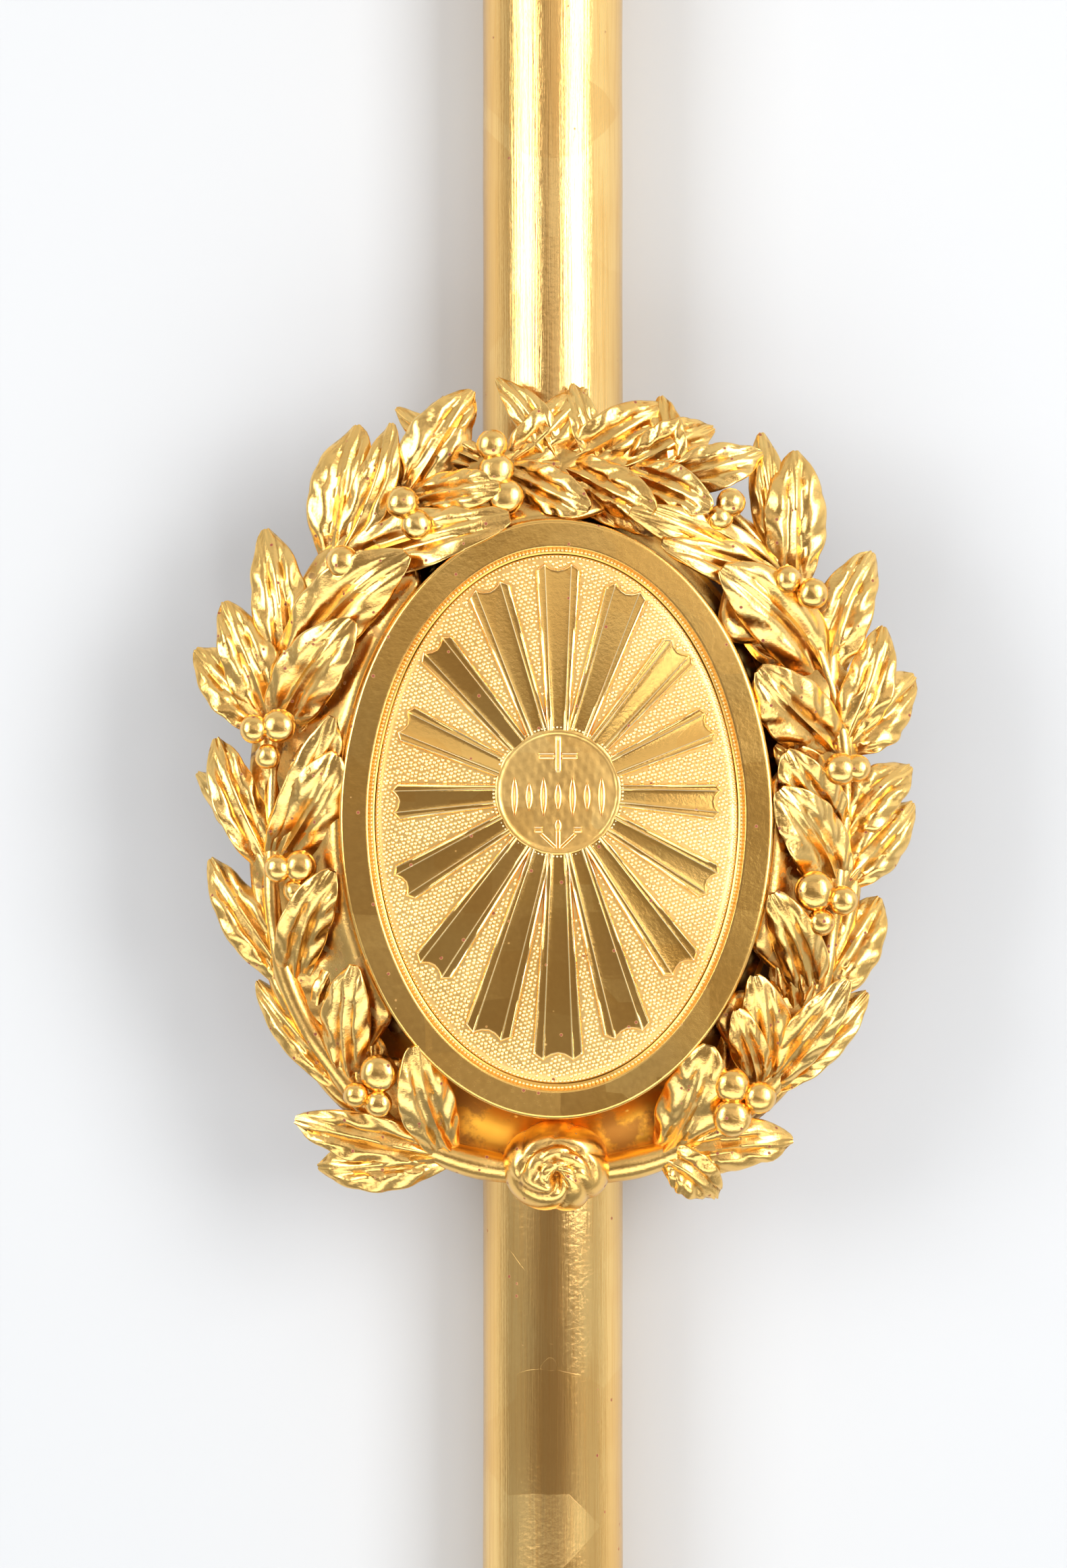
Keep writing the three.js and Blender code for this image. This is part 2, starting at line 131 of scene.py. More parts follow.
def grid_faces(rows, columns, closed):
    """Quads of a grid whose points run along each row in turn."""
    sides = columns if closed else columns - 1
    row, column = np.meshgrid(np.arange(rows - 1), np.arange(sides), indexing="ij")
    a = row * columns + column
    b = row * columns + (column + 1) % columns
    return np.stack([a, b, b + columns, a + columns], axis=-1).reshape(-1, 4).tolist()


def skin(rings):
    """A closed skin over an (R, K, 3) array of rings, with a flat cap at each end."""
    rows, columns = rings.shape[:2]
    faces = grid_faces(rows, columns, True)
    faces.append(list(range(columns))[::-1])
    faces.append([(rows - 1) * columns + k for k in range(columns)])
    return rings.reshape(-1, 3), faces


def slab(top, floor_z):
    """A closed slab under an (R, C, 3) grid: its edge drops to a flat floor."""
    rows, columns = top.shape[:2]
    index = np.arange(rows * columns).reshape(rows, columns)
    edge = np.concatenate([index[0, :], index[1:, -1], index[-1, -2::-1], index[-2:0:-1, 0]])
    low = top.reshape(-1, 3)[edge].copy()
    low[:, 2] = floor_z
    faces = [face[::-1] for face in grid_faces(rows, columns, False)]
    first = rows * columns
    count = len(edge)
    for k in range(count):
        after = (k + 1) % count
        faces.append([int(edge[k]), int(edge[after]), first + after, first + k])
    faces.append([first + k for k in range(count)][::-1])
    return np.concatenate([top.reshape(-1, 3), low]), faces


def joined(forms):
    """Several (points, faces, hollow) forms as one, with the faces renumbered."""
    points, faces, hollow, start = [], [], [], 0
    for form in forms:
        points.append(form[0])
        faces.extend([[index + start for index in face] for face in form[1]])
        hollow.append(form[2] if len(form) > 2 else np.zeros(len(form[0])))
        start += len(form[0])
    return np.concatenate(points), faces, np.concatenate(hollow)


# %% [markdown]
# ## From points to a dressed piece
# A form becomes a mesh object with smooth shading and sharp corners where its faces turn hard.
# How hollow each point lies is kept as an attribute, so that a finish can paint shade into the
# hollows and highlights on raised edges. Notches are cut with a boolean, which is turned into plain
# mesh at once.

# %% Pieces, cuts and finishes
SHARP_ANGLE = 40
MEDALLION = (MEDALLION_X, MEDALLION_Y)


def make_piece(name, form, sharp=SHARP_ANGLE, centre=MEDALLION):
    """A mesh object from a form in millimetres. Hollow is kept as a vertex attribute."""
    points, faces = form[0], form[1]
    mesh = bpy.data.meshes.new(name)
    mesh.from_pydata(((points + np.array([*centre, 0])) * MM).tolist(), [], faces)
    hollow = mesh.attributes.new("hollow", "FLOAT", "POINT")
    values = form[2] if len(form) > 2 else np.zeros(len(points))
    hollow.data.foreach_set("value", np.asarray(values, dtype=np.float32))
    mesh.validate()
    mesh.polygons.foreach_set("use_smooth", [True] * len(mesh.polygons))
    mesh.set_sharp_from_angle(angle=math.radians(sharp))
    piece = bpy.data.objects.new(name, mesh)
    bpy.context.collection.objects.link(piece)
    print(name, len(mesh.vertices), "points", len(mesh.polygons), "faces")
    return piece


def finished_mesh(piece):
    """Turns the piece's modifiers into its plain mesh."""
    graph = bpy.context.evaluated_depsgraph_get()
    mesh = bpy.data.meshes.new_from_object(piece.evaluated_get(graph))
    piece.modifiers.clear()
    piece.data = mesh


def cut_away(piece, cutter):
    """Takes the cutter's form out of the piece, and drops the cutter."""
    cut = piece.modifiers.new("cut", "BOOLEAN")
    cut.operation = "DIFFERENCE"
    cut.solver = "EXACT"
    cut.object = cutter
    finished_mesh(piece)
    bpy.data.objects.remove(cutter)
    piece.data.set_sharp_from_angle(angle=math.radians(SHARP_ANGLE))


def recalculate_normals(piece):
    """Points all faces of a closed mesh outwards."""
    work = bmesh.new()
    work.from_mesh(piece.data)
    bmesh.ops.recalc_face_normals(work, faces=work.faces)
    work.to_mesh(piece.data)
    work.free()


def dress(piece, material, slot, *nodes):
    """Gives a piece its finish and fixes it to the frame, in the place of its CAD node."""
    piece.data.materials.clear()
    piece.data.materials.append(material)
    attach(piece, "root")
    if nodes:
        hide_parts(*nodes)


def dressed(name, form, material, slot, *nodes, sharp=SHARP_ANGLE, centre=MEDALLION, cutter=None):
    """Makes a piece from its form, cuts it where there is a cutter, and dresses it."""
    piece = make_piece(name, form, sharp, centre)
    recalculate_normals(piece)
    if cutter:
        cut_away(piece, cutter)
    dress(piece, material, slot, *nodes)


# %% [markdown]
# ## The camera
# The photo was taken square on with a long lens, so that the medallion and the pole keep their
# true outlines. The cross lies down, so the camera hangs over it and looks straight down. The
# pole's width in the photo sets the scale, and two small offsets put the medallion in its place.
# A parallel camera would be simpler, but the rim would then look as far away as the pole.

# %% Camera
PHOTO_HEIGHT = 2324
POLE_WIDTH_PX = 208
CAMERA_HEIGHT = 1600
CAMERA_LEFT = 6.3
CAMERA_ABOVE_MEDALLION = 11.1

view_height = PHOTO_HEIGHT * 2 * POLE_RADIUS / POLE_WIDTH_PX
lens = bpy.data.cameras.new("camera")
lens.sensor_fit = "VERTICAL"
lens.sensor_height = 36
lens.lens = lens.sensor_height * (CAMERA_HEIGHT - AXIS_Z) / view_height
lens.clip_start = 0.05
lens.clip_end = 20
camera = bpy.data.objects.new("camera", lens)
camera.location = Vector((-CAMERA_LEFT, MEDALLION_Y + CAMERA_ABOVE_MEDALLION, CAMERA_HEIGHT)) * MM
bpy.context.collection.objects.link(camera)
bpy.context.scene.camera = camera
bpy.context.scene.view_settings.view_transform = "Standard"
print("lens", round(lens.lens, 1), "mm")

# %% [markdown]
# ## The floor
# Behind the cross the photo has a white wall, which takes a soft shadow round the wreath. Here
# the cross lies on a pale matt floor that does the same. It also shows in the gold, as the light
# rim of each round form. A wide flat sheet is enough, since the camera never sees its edge.

# %% Floor
FLOOR_REACH = 4.0
FLOOR_DROP = 0.0002
FLOOR_COLOUR = (0.61, 0.625, 0.645, 1)

floor_corners = [(x * FLOOR_REACH, y * FLOOR_REACH, 0) for x, y in ((-1, -1), (1, -1), (1, 1), (-1, 1))]
floor_mesh = bpy.data.meshes.new("floor")
floor_mesh.from_pydata(floor_corners, [], [(0, 1, 2, 3)])
floor = bpy.data.objects.new("floor", floor_mesh)
floor.location.z = -FLOOR_DROP
bpy.context.collection.objects.link(floor)
floor_paint = bpy.data.materials.new("floor_paint")
floor_paint.use_nodes = True
floor_shader = floor_paint.node_tree.nodes["Principled BSDF"]
floor_shader.inputs["Base Color"].default_value = FLOOR_COLOUR
floor_shader.inputs["Roughness"].default_value = 0.9
floor_mesh.materials.append(floor_paint)
print("floor", 2 * FLOOR_REACH, "m wide")

# %% [markdown]
# ## Soft lights
# Burnished gold is a mirror, so its look is what it reflects. Two large soft panels stand left
# and right above the medallion and show as two white bands on the upper pole, and hardly on the
# lower. Weaker ones fill in from the right, from overhead and from the foot, and a small one
# gives the rays a glint. Area lights were chosen because the bands need straight, soft edges.

# %% Lights


def soft_panel(name, place, aim, size, power, colour=(1, 1, 1)):
    """A rectangular area light at a place, turned towards a point, both in metres."""
    light = bpy.data.lights.new(name, "AREA")
    light.shape = "RECTANGLE"
    light.size, light.size_y = size
    light.energy = power
    light.color = colour
    panel = bpy.data.objects.new(name, light)
    panel.location = place
    turn = (Vector(place) - Vector(aim)).to_track_quat("Z", "Y")
    panel.rotation_euler = turn.to_euler()
    bpy.context.collection.objects.link(panel)


DAYLIGHT = (0.95, 0.98, 1.0)
medallion_y = MEDALLION_Y * MM
medallion = Vector((0, medallion_y, 0.05))
above = medallion + Vector((0, 0.38, 0))
soft_panel("left_softbox", (-1.05, above.y, 1.05), above, size=(0.95, 0.65), power=12.0)
soft_panel("right_softbox", (0.92, above.y, 1.18), above, size=(1.12, 0.65), power=16)
soft_panel("right_wall", (1.7, above.y + 0.25, 0.45), above, size=(1.0, 0.9), power=1.2)
soft_panel("ceiling", (0.1, above.y + 0.3, 2.2), above, size=(1.3, 0.9), power=2.0)
soft_panel("foot_fill", (0, medallion_y - 0.85, 1.0), medallion, (2.6, 0.7), 11.0, DAYLIGHT)
soft_panel("door_glow", (0.36, medallion_y + 0.03, 1.6), medallion, size=(0.24, 0.16), power=0.3)

# %% [markdown]
# ## Helpers for node graphs
# The room and every finish are graphs of nodes. A graph drawn by hand in the editor is quick to
# try out, but a script shows it best with one line for each step. So each helper places a node,
# links or sets its inputs, and hands back the output that the next step needs.

# %% Node helpers


def add_node(tree, kind, **settings):
    """A node of a kind, with its settings; keys that are socket names set their values."""
    node = tree.nodes.new(kind)
    for key, value in settings.items():
        if hasattr(node, key):
            setattr(node, key, value)
        else:
            node.inputs[key.replace("_", " ")].default_value = value
    return node


def feed(tree, socket, value):
    """Links an output to a socket, or sets the socket where the value is a plain one."""
    if isinstance(value, bpy.types.NodeSocket):
        tree.links.new(value, socket)
    else:
        socket.default_value = value


def maths(tree, operation, *values):
    """A Math node on sockets or numbers; returns its output socket."""
    node = add_node(tree, "ShaderNodeMath", operation=operation)
    for socket, value in zip(node.inputs, values):
        feed(tree, socket, value)
    return node.outputs[0]


def ramp(tree, value, low, high, to_low=0.0, to_high=1.0):
    """A smooth rise of a value between two limits; returns its output socket."""
    node = add_node(tree, "ShaderNodeMapRange", interpolation_type="SMOOTHSTEP")
    for name, number in zip(("From Min", "From Max", "To Min", "To Max"), (low, high, to_low, to_high)):
        node.inputs[name].default_value = number
    tree.links.new(value, node.inputs["Value"])
    return node.outputs["Result"]


def blend_colour(tree, share, first, second):
    """Mixes two colours, each a socket or a plain colour; returns the output socket."""
    node = add_node(tree, "ShaderNodeMix", data_type="RGBA")
    tree.links.new(share, node.inputs["Factor"])
    feed(tree, node.inputs[6], first)
    feed(tree, node.inputs[7], second)
    return node.outputs[2]


# %% [markdown]
# ## The room
# Flat gold that faces the camera reflects the dim room behind it and goes dark bronze, while
# gold that slopes reflects the pale walls. So the world is brown overhead and light grey lower
# down, and a little stronger towards the head and the right. A picture of a studio could do
# this too, but a short ramp is enough and reads nothing from disk.

# %% World
OVERHEAD_START = 0.55
OVERHEAD_FULL = 0.97
WALL_GREY = (0.56, 0.56, 0.55, 1)
OVERHEAD_BROWN = (0.27, 0.225, 0.185, 1)
ROOM_LEAN = (0.2, 0.45, 0)

world = bpy.data.worlds.new("room")
bpy.context.scene.world = world
world.use_nodes = True
sky = world.node_tree
room = sky.nodes["Background"]
direction = sky.nodes.new("ShaderNodeTexCoord").outputs["Generated"]
parts = sky.nodes.new("ShaderNodeSeparateXYZ")
sky.links.new(direction, parts.inputs[0])
overhead = ramp(sky, parts.outputs["Z"], OVERHEAD_START, OVERHEAD_FULL)
tint = blend_colour(sky, overhead, WALL_GREY, OVERHEAD_BROWN)
sky.links.new(tint, room.inputs["Color"])

leaning = add_node(sky, "ShaderNodeVectorMath", operation="DOT_PRODUCT")
feed(sky, leaning.inputs[0], direction)
feed(sky, leaning.inputs[1], ROOM_LEAN)
sky.links.new(maths(sky, "ADD", leaning.outputs["Value"], 1.0), room.inputs["Strength"])
print("room", len(sky.nodes), "nodes")

# %% [markdown]
# ## The gilded finish
# Water gilding is gold leaf over red clay bole over white gesso. Where it is burnished it is
# nearly a mirror with fine stroke marks, squares of leaf that overlap, and specks where the bole
# shows. The same effects come back on all pieces, so they are node groups, built once and used
# with other values by each material.

# %% Helpers for the finish


def object_place(tree):
    """The object's own coordinates, in metres."""
    return tree.nodes.new("ShaderNodeTexCoord").outputs["Object"]


def noise(tree, place, scale, detail, roughness=0.5):
    """A noise node over a place; its Fac output is the usual one."""
    node = add_node(tree, "ShaderNodeTexNoise", Scale=scale, Detail=detail, Roughness=roughness)
    tree.links.new(place, node.inputs["Vector"])
    return node


def group_tree(name, inputs, outputs):
    """A new node group with float or colour sockets: (name, kind, default value)."""
    tree = bpy.data.node_groups.new(name, "ShaderNodeTree")
    for label, kind, value in inputs:
        socket = tree.interface.new_socket(label, in_out="INPUT", socket_type=kind)
        socket.default_value = value
    for label, kind in outputs:
        tree.interface.new_socket(label, in_out="OUTPUT", socket_type=kind)
    return tree, tree.nodes.new("NodeGroupInput"), tree.nodes.new("NodeGroupOutput")


# %% [markdown]
# ## Node group: gold leaf
# Leaf comes in squares about 80 mm wide, is cut smaller for round forms, and each piece laps
# over the last. A cell pattern with straight sides, pushed about by noise, gives every piece of
# leaf its own tone, roughness and height, and a finer one scatters the specks. Wear painted on
# by hand would look as good, but it would need a picture.

# %% The leaf group
FLOAT = "NodeSocketFloat"
COLOUR = "NodeSocketColor"
PLAIN_GOLD = (0.98, 0.64, 0.20, 1)
DEEP_GOLD = (0.86, 0.46, 0.10, 1)
RED_BOLE = (0.30, 0.07, 0.03, 1)
LAP_WOBBLE = 0.008
LAP_STEP = 0.3
TONE_SCALE = 28.0
WOBBLE_SCALE = 22.0
SPECK_SCALE = 420.0


def make_leaf_group():
    """Gold leaf in squares that overlap, with small specks where the red bole shows."""
    tree, given, result = group_tree(
        "gold_leaf_tone",
        [
            ("Gold", COLOUR, PLAIN_GOLD),
            ("Deep Gold", COLOUR, DEEP_GOLD),
            ("Bole", COLOUR, RED_BOLE),
            ("Lap Spacing", FLOAT, 60.0),
            ("Speck Amount", FLOAT, 0.10),
            ("Lap Contrast", FLOAT, 0.16),
        ],
        [("Color", COLOUR), ("Lap", FLOAT), ("Worn", FLOAT), ("Height", FLOAT)],
    )
    place = object_place(tree)
    broad = noise(tree, place, TONE_SCALE, 4.0)
    tone = ramp(tree, broad.outputs["Fac"], 0.35, 0.68)

    wobble = noise(tree, place, WOBBLE_SCALE, 3.0)
    shifted = add_node(tree, "ShaderNodeVectorMath", operation="MULTIPLY_ADD")
    for socket, value in zip(shifted.inputs, (wobble.outputs["Color"], [LAP_WOBBLE] * 3, place)):
        feed(tree, socket, value)
    squares = add_node(tree, "ShaderNodeTexVoronoi", feature="F1", distance="CHEBYCHEV")
    tree.links.new(shifted.outputs[0], squares.inputs["Vector"])
    tree.links.new(given.outputs["Lap Spacing"], squares.inputs["Scale"])
    cell = tree.nodes.new("ShaderNodeSeparateColor")
    tree.links.new(squares.outputs["Color"], cell.inputs["Color"])

    specks = add_node(tree, "ShaderNodeTexVoronoi", feature="F1", Scale=SPECK_SCALE)
    tree.links.new(place, specks.inputs["Vector"])
    chance = tree.nodes.new("ShaderNodeSeparateColor")
    tree.links.new(specks.outputs["Color"], chance.inputs["Color"])
    kept = maths(tree, "LESS_THAN", chance.outputs["Red"], given.outputs["Speck Amount"])
    dot = ramp(tree, specks.outputs["Distance"], 0.16, 0.30, 1.0, 0.0)
    worn = maths(tree, "MULTIPLY", dot, kept)

    depth = maths(tree, "MULTIPLY", maths(tree, "SUBTRACT", 1.0, tone), 0.35)
    gold = blend_colour(tree, depth, given.outputs["Gold"], given.outputs["Deep Gold"])
    lapped = maths(tree, "MULTIPLY", cell.outputs["Green"], given.outputs["Lap Contrast"])
    gold = blend_colour(tree, lapped, gold, given.outputs["Deep Gold"])
    gold = blend_colour(tree, worn, gold, given.outputs["Bole"])
    tree.links.new(gold, result.inputs["Color"])
    tree.links.new(cell.outputs["Red"], result.inputs["Lap"])
    tree.links.new(worn, result.inputs["Worn"])
    step = maths(tree, "MULTIPLY", cell.outputs["Blue"], LAP_STEP)
    tree.links.new(step, result.inputs["Height"])
    return tree


leaf_group = make_leaf_group()
print(leaf_group.name, len(leaf_group.nodes), "nodes")

# %% [markdown]
# ## Node group: the burnisher's strokes
# The gilder rubs the leaf with an agate stone, always along the grain of the form. Noise that is
# squeezed in one direction leaves fine streaks in the other, and plain noise on top gives the
# scratches that run any way. The shader's own anisotropy would stretch the reflections too, but
# it would show no single strokes.

# %% The stroke group
SCRATCH_SCALE = 600.0


def make_stroke_group():
    """Fine streaks along one direction, given by a stretch of the object's coordinates."""
    tree, given, result = group_tree(
        "burnish_strokes",
        [("Across X", FLOAT, 900.0), ("Across Y", FLOAT, 900.0), ("Across Z", FLOAT, 900.0)],
        [("Streak", FLOAT), ("Height", FLOAT)],
    )
    place = object_place(tree)
    scale = tree.nodes.new("ShaderNodeCombineXYZ")
    for axis in "XYZ":
        tree.links.new(given.outputs["Across " + axis], scale.inputs[axis])
    stretched = add_node(tree, "ShaderNodeVectorMath", operation="MULTIPLY")
    tree.links.new(place, stretched.inputs[0])
    tree.links.new(scale.outputs[0], stretched.inputs[1])
    fine = noise(tree, stretched.outputs[0], 1.0, 5.0, 0.65)
    scratches = noise(tree, place, SCRATCH_SCALE, 2.0)
    tree.links.new(fine.outputs["Fac"], result.inputs["Streak"])
    mixed = maths(tree, "MULTIPLY_ADD", scratches.outputs["Fac"], 0.4, fine.outputs["Fac"])
    tree.links.new(mixed, result.inputs["Height"])
    return tree


stroke_group = make_stroke_group()
print(stroke_group.name, len(stroke_group.nodes), "nodes")

# %% [markdown]
# ## Painted highlights on edges and painted shade in the hollows
# Raised edges are painted paler as a highlight, and hollows are painted darker as shade. The
# pieces carry how hollow each point lies: below zero is a raised edge, one is a deep hollow. The
# finish turns that into colour, roughness and wear. Ambient occlusion in the shader could find
# the hollows too, but it is slow and it can't tell a raised edge.

# %% Hollows and edges
EDGE_HIGHLIGHT_GOLD = (1.0, 0.88, 0.58, 1)
HOLLOW_SHADE_GOLD = (0.50, 0.26, 0.06, 1)
HOLLOW_DIRT_AND_SHADE = (0.10, 0.045, 0.015, 1)
DIRT_AND_SHADE_SCALE = 260.0


def hollow_of(tree):
    """The hollow attribute that make_piece keeps on each point."""
    return add_node(tree, "ShaderNodeAttribute", attribute_name="hollow").outputs["Fac"]


def edge_light_and_hollow_shade(tree, colour, worn, rough, strength):
    """Painted highlight on raised edges, and painted shade with patches of dirt in the hollows."""
    hollow = hollow_of(tree)
    patches = noise(tree, object_place(tree), DIRT_AND_SHADE_SCALE, 4.0)
    depth = ramp(tree, hollow, 0.15, 0.95)
    # Raised edges: a painted highlight in paler gold, and a little rougher.
    edges = ramp(tree, hollow, -0.9, -0.1, 0.75, 0.0)
    colour = blend_colour(tree, edges, colour, EDGE_HIGHLIGHT_GOLD)
    rough = maths(tree, "MULTIPLY_ADD", edges, 0.12, rough)
    # Hollows: painted shade in a deeper gold, and a little rougher.
    shade = maths(tree, "MULTIPLY", depth, strength)
    colour = blend_colour(tree, shade, colour, HOLLOW_SHADE_GOLD)
    # Patches of dirt in the hollows, which also deepen the painted shade there and dull the metal.
    dirt_and_shade = maths(tree, "MULTIPLY", depth, ramp(tree, patches.outputs["Fac"], 0.56, 0.66))
    colour = blend_colour(tree, maths(tree, "MULTIPLY", dirt_and_shade, 0.8), colour, HOLLOW_DIRT_AND_SHADE)
    worn = maths(tree, "MAXIMUM", worn, maths(tree, "MULTIPLY", dirt_and_shade, 0.7))
    rough = maths(tree, "MULTIPLY_ADD", shade, 0.12, rough)
    return colour, worn, rough


# %% [markdown]
# ## The frame's back: dust and painted shade
# The cove round the medallion was never burnished, so it is rougher. Low in the cove its gold is
# painted a deep amber as shade, with brown patches of dust and shade, and the bevel is painted
# amber as a reflection of the gold ground. Behind the leaves the ungilded wood is painted dark as
# shade. Two materials on parts of the mesh would meet in a hard line. So one material goes softly
# from the bright rim to the back by how hollow the points are.

# %% Painted amber, dust and shade, and the dark ungilded wood
AMBER_SHADE_AND_REFLECTION = (0.90, 0.43, 0.05, 1)
DUST_AND_SHADE = (0.36, 0.13, 0.02, 1)
BARE_WOOD_SHADE = (0.10, 0.055, 0.03, 1)
DUST_AND_SHADE_SCALE = 90.0


def backing_dust_and_shade(tree, colour, worn, rough):
    """Painted amber: shade low in the cove, a reflection on the bevel. Dust and shade in patches, and
    over 1.2 the ungilded wood, painted dark as shade.
    """
    hollow = hollow_of(tree)
    # Amber where the hollow is 0.2 to 0.5: painted shade low in the cove and a painted reflection on
    # the bevel.
    amber = ramp(tree, hollow, 0.2, 0.5)
    colour = blend_colour(tree, amber, colour, AMBER_SHADE_AND_REFLECTION)
    rough = maths(tree, "MULTIPLY_ADD", amber, 0.18, rough)
    # Brown patches of dust and painted shade, where the hollow is 0.4 and more.
    patches = noise(tree, object_place(tree), DUST_AND_SHADE_SCALE, 5.0, 0.65)
    dust_and_shade = ramp(tree, patches.outputs["Fac"], 0.46, 0.62, 0.0, 0.75)
    dust_and_shade = maths(tree, "MULTIPLY", dust_and_shade, ramp(tree, hollow, 0.4, 0.6))
    colour = blend_colour(tree, dust_and_shade, colour, DUST_AND_SHADE)
    worn = maths(tree, "MAXIMUM", worn, maths(tree, "MULTIPLY", dust_and_shade, 0.4))
    # Over 1.2 the ungilded wood behind the leaves, painted dark as shade.
    bare_and_shaded = ramp(tree, hollow, 1.2, 1.7)
    colour = blend_colour(tree, bare_and_shaded, colour, BARE_WOOD_SHADE)
    worn = maths(tree, "MAXIMUM", worn, bare_and_shaded)
    return colour, worn, rough


# %% [markdown]
# ## One gold, eight materials
# Each surface of the cross is the same leaf under another hand: mirror bright on the pole and
# the rays, satin on the punched ground, soft on the carving, with painted shade and dirt in its
# hollows. One function builds the graph and each material only gives its own values, which is
# easier to keep alike than eight graphs. Where leaf is worn off, the surface is no metal any
# more, so wear takes metallic down and roughness up.

# %% The gold material


def use_group(tree, group, **values):
    """Places a node group in a material with its own values."""
    node = tree.nodes.new("ShaderNodeGroup")
    node.node_tree = group
    for key, value in values.items():
        node.inputs[key.replace("_", " ")].default_value = value
    return node


def gold_material(
    name,
    roughness,
    gold=PLAIN_GOLD,
    deep=DEEP_GOLD,
    strokes=(900.0, 900.0, 900.0),
    lap_spacing=60.0,
    specks=0.08,
    lap_contrast=0.16,
    lap_roughness=0.05,
    streak_tone=0.0,
    hollow_shade_strength=0.0,
    bump=0.05,
    backing=None,
):
    """Gilding: leaf tone, laps and strokes, with age in the hollows or a dusty backing."""
    material = bpy.data.materials.new(name)
    material.use_nodes = True
    tree = material.node_tree
    shader = tree.nodes["Principled BSDF"]
    leaf = use_group(tree, leaf_group, Gold=gold, Deep_Gold=deep, Lap_Spacing=lap_spacing,
                     Speck_Amount=specks, Lap_Contrast=lap_contrast)
    stroke = use_group(tree, stroke_group, Across_X=strokes[0], Across_Y=strokes[1],
                       Across_Z=strokes[2])
    colour = leaf.outputs["Color"]
    worn = leaf.outputs["Worn"]
    rough = maths(tree, "MULTIPLY_ADD", stroke.outputs["Streak"], 0.12, roughness - 0.06)
    rough = maths(tree, "MULTIPLY_ADD", leaf.outputs["Lap"], lap_roughness, rough)
    if streak_tone:
        streaked = ramp(tree, stroke.outputs["Streak"], 0.45, 0.65, 0.0, streak_tone)
        colour = blend_colour(tree, streaked, colour, deep)
    if hollow_shade_strength:
        colour, worn, rough = edge_light_and_hollow_shade(tree, colour, worn, rough, hollow_shade_strength)
    if backing:
        colour, worn, rough = backing(tree, colour, worn, rough)
    tree.links.new(colour, shader.inputs["Base Color"])
    tree.links.new(maths(tree, "SUBTRACT", 1.0, worn), shader.inputs["Metallic"])
    tree.links.new(maths(tree, "MULTIPLY_ADD", worn, 0.35, rough), shader.inputs["Roughness"])
    height = maths(tree, "ADD", stroke.outputs["Height"], leaf.outputs["Height"])
    bumps = add_node(tree, "ShaderNodeBump", Strength=bump, Distance=0.001)
    tree.links.new(height, bumps.inputs["Height"])
    tree.links.new(bumps.outputs["Normal"], shader.inputs["Normal"])
    return material


# %% [markdown]
# ## The finishes of this cross
# The pole and the crossbar are burnished along their length, with plain laps of leaf. The rays
# are the brightest, with painted highlights on their raised edges, the punched ground and the
# disc are satin, and the pearls are a paler gold as a painted highlight. The carving has specks
# of bole, and painted shade with patches of dirt in its hollows, and the frame its back of dust
# and painted shade. Roughness is the main setting: about 0.12 for a mirror and 0.34 for a matt ground.

# %% The eight materials
POLE_LEAF = dict(gold=(0.98, 0.67, 0.26, 1), deep=(0.80, 0.45, 0.13, 1), lap_spacing=16.0,
                 specks=0.015, lap_contrast=0.45, lap_roughness=0.10, streak_tone=0.5, bump=0.16)
pole_gold = gold_material("pole_gold", 0.12, strokes=(1200.0, 20.0, 1200.0), **POLE_LEAF)
bar_gold = gold_material("bar_gold", 0.12, strokes=(20.0, 1200.0, 1200.0), **POLE_LEAF)
ray_gold = gold_material("ray_gold", 0.14, strokes=(700.0, 700.0, 700.0), hollow_shade_strength=0.5,
                         lap_contrast=0.5)
# The pearls and beads are a paler gold than the field: a painted highlight for the light they catch.
highlit_pearl_gold = gold_material("highlit_pearl_gold", 0.28, gold=(1.0, 0.86, 0.52, 1), deep=(0.98, 0.74, 0.34, 1),
                           specks=0.0)
field_gold = gold_material("field_gold", 0.34, gold=(0.98, 0.70, 0.28, 1), specks=0.02)
disc_gold = gold_material("disc_gold", 0.30, gold=(0.96, 0.66, 0.24, 1), specks=0.0,
                          hollow_shade_strength=0.5, lap_contrast=0.5)
carved_gold = gold_material("carved_gold", 0.17, gold=(0.98, 0.66, 0.23, 1), specks=0.10,
                            hollow_shade_strength=0.65, bump=0.12)
rim_gold = gold_material("rim_gold", 0.15, strokes=(500.0, 500.0, 900.0), lap_spacing=24.0,
                         specks=0.04, lap_contrast=0.45, lap_roughness=0.12, backing=backing_dust_and_shade)
print("materials:", [material.name for material in bpy.data.materials])

# %% [markdown]
# ## The pole and the crossbar
# The pole is turned round and rubbed smooth, but gesso laid by hand is never quite even, so its
# reflections waver. A lathe or a modifier would make the round form, but rings of points can
# also be pushed in here and there by a tenth of a millimetre. The notches of the half-lap joint
# are cut with half of the other bar's round form.

# %% Round bars
BAR_STEP = 5
BAR_SIDES = 96
WIDE_WAVER = 0.004
FINE_WAVER = 0.0015


def full_turn(count):
    """Angles spaced evenly round a full turn."""
    return np.linspace(0, 2 * math.pi, count, endpoint=False)


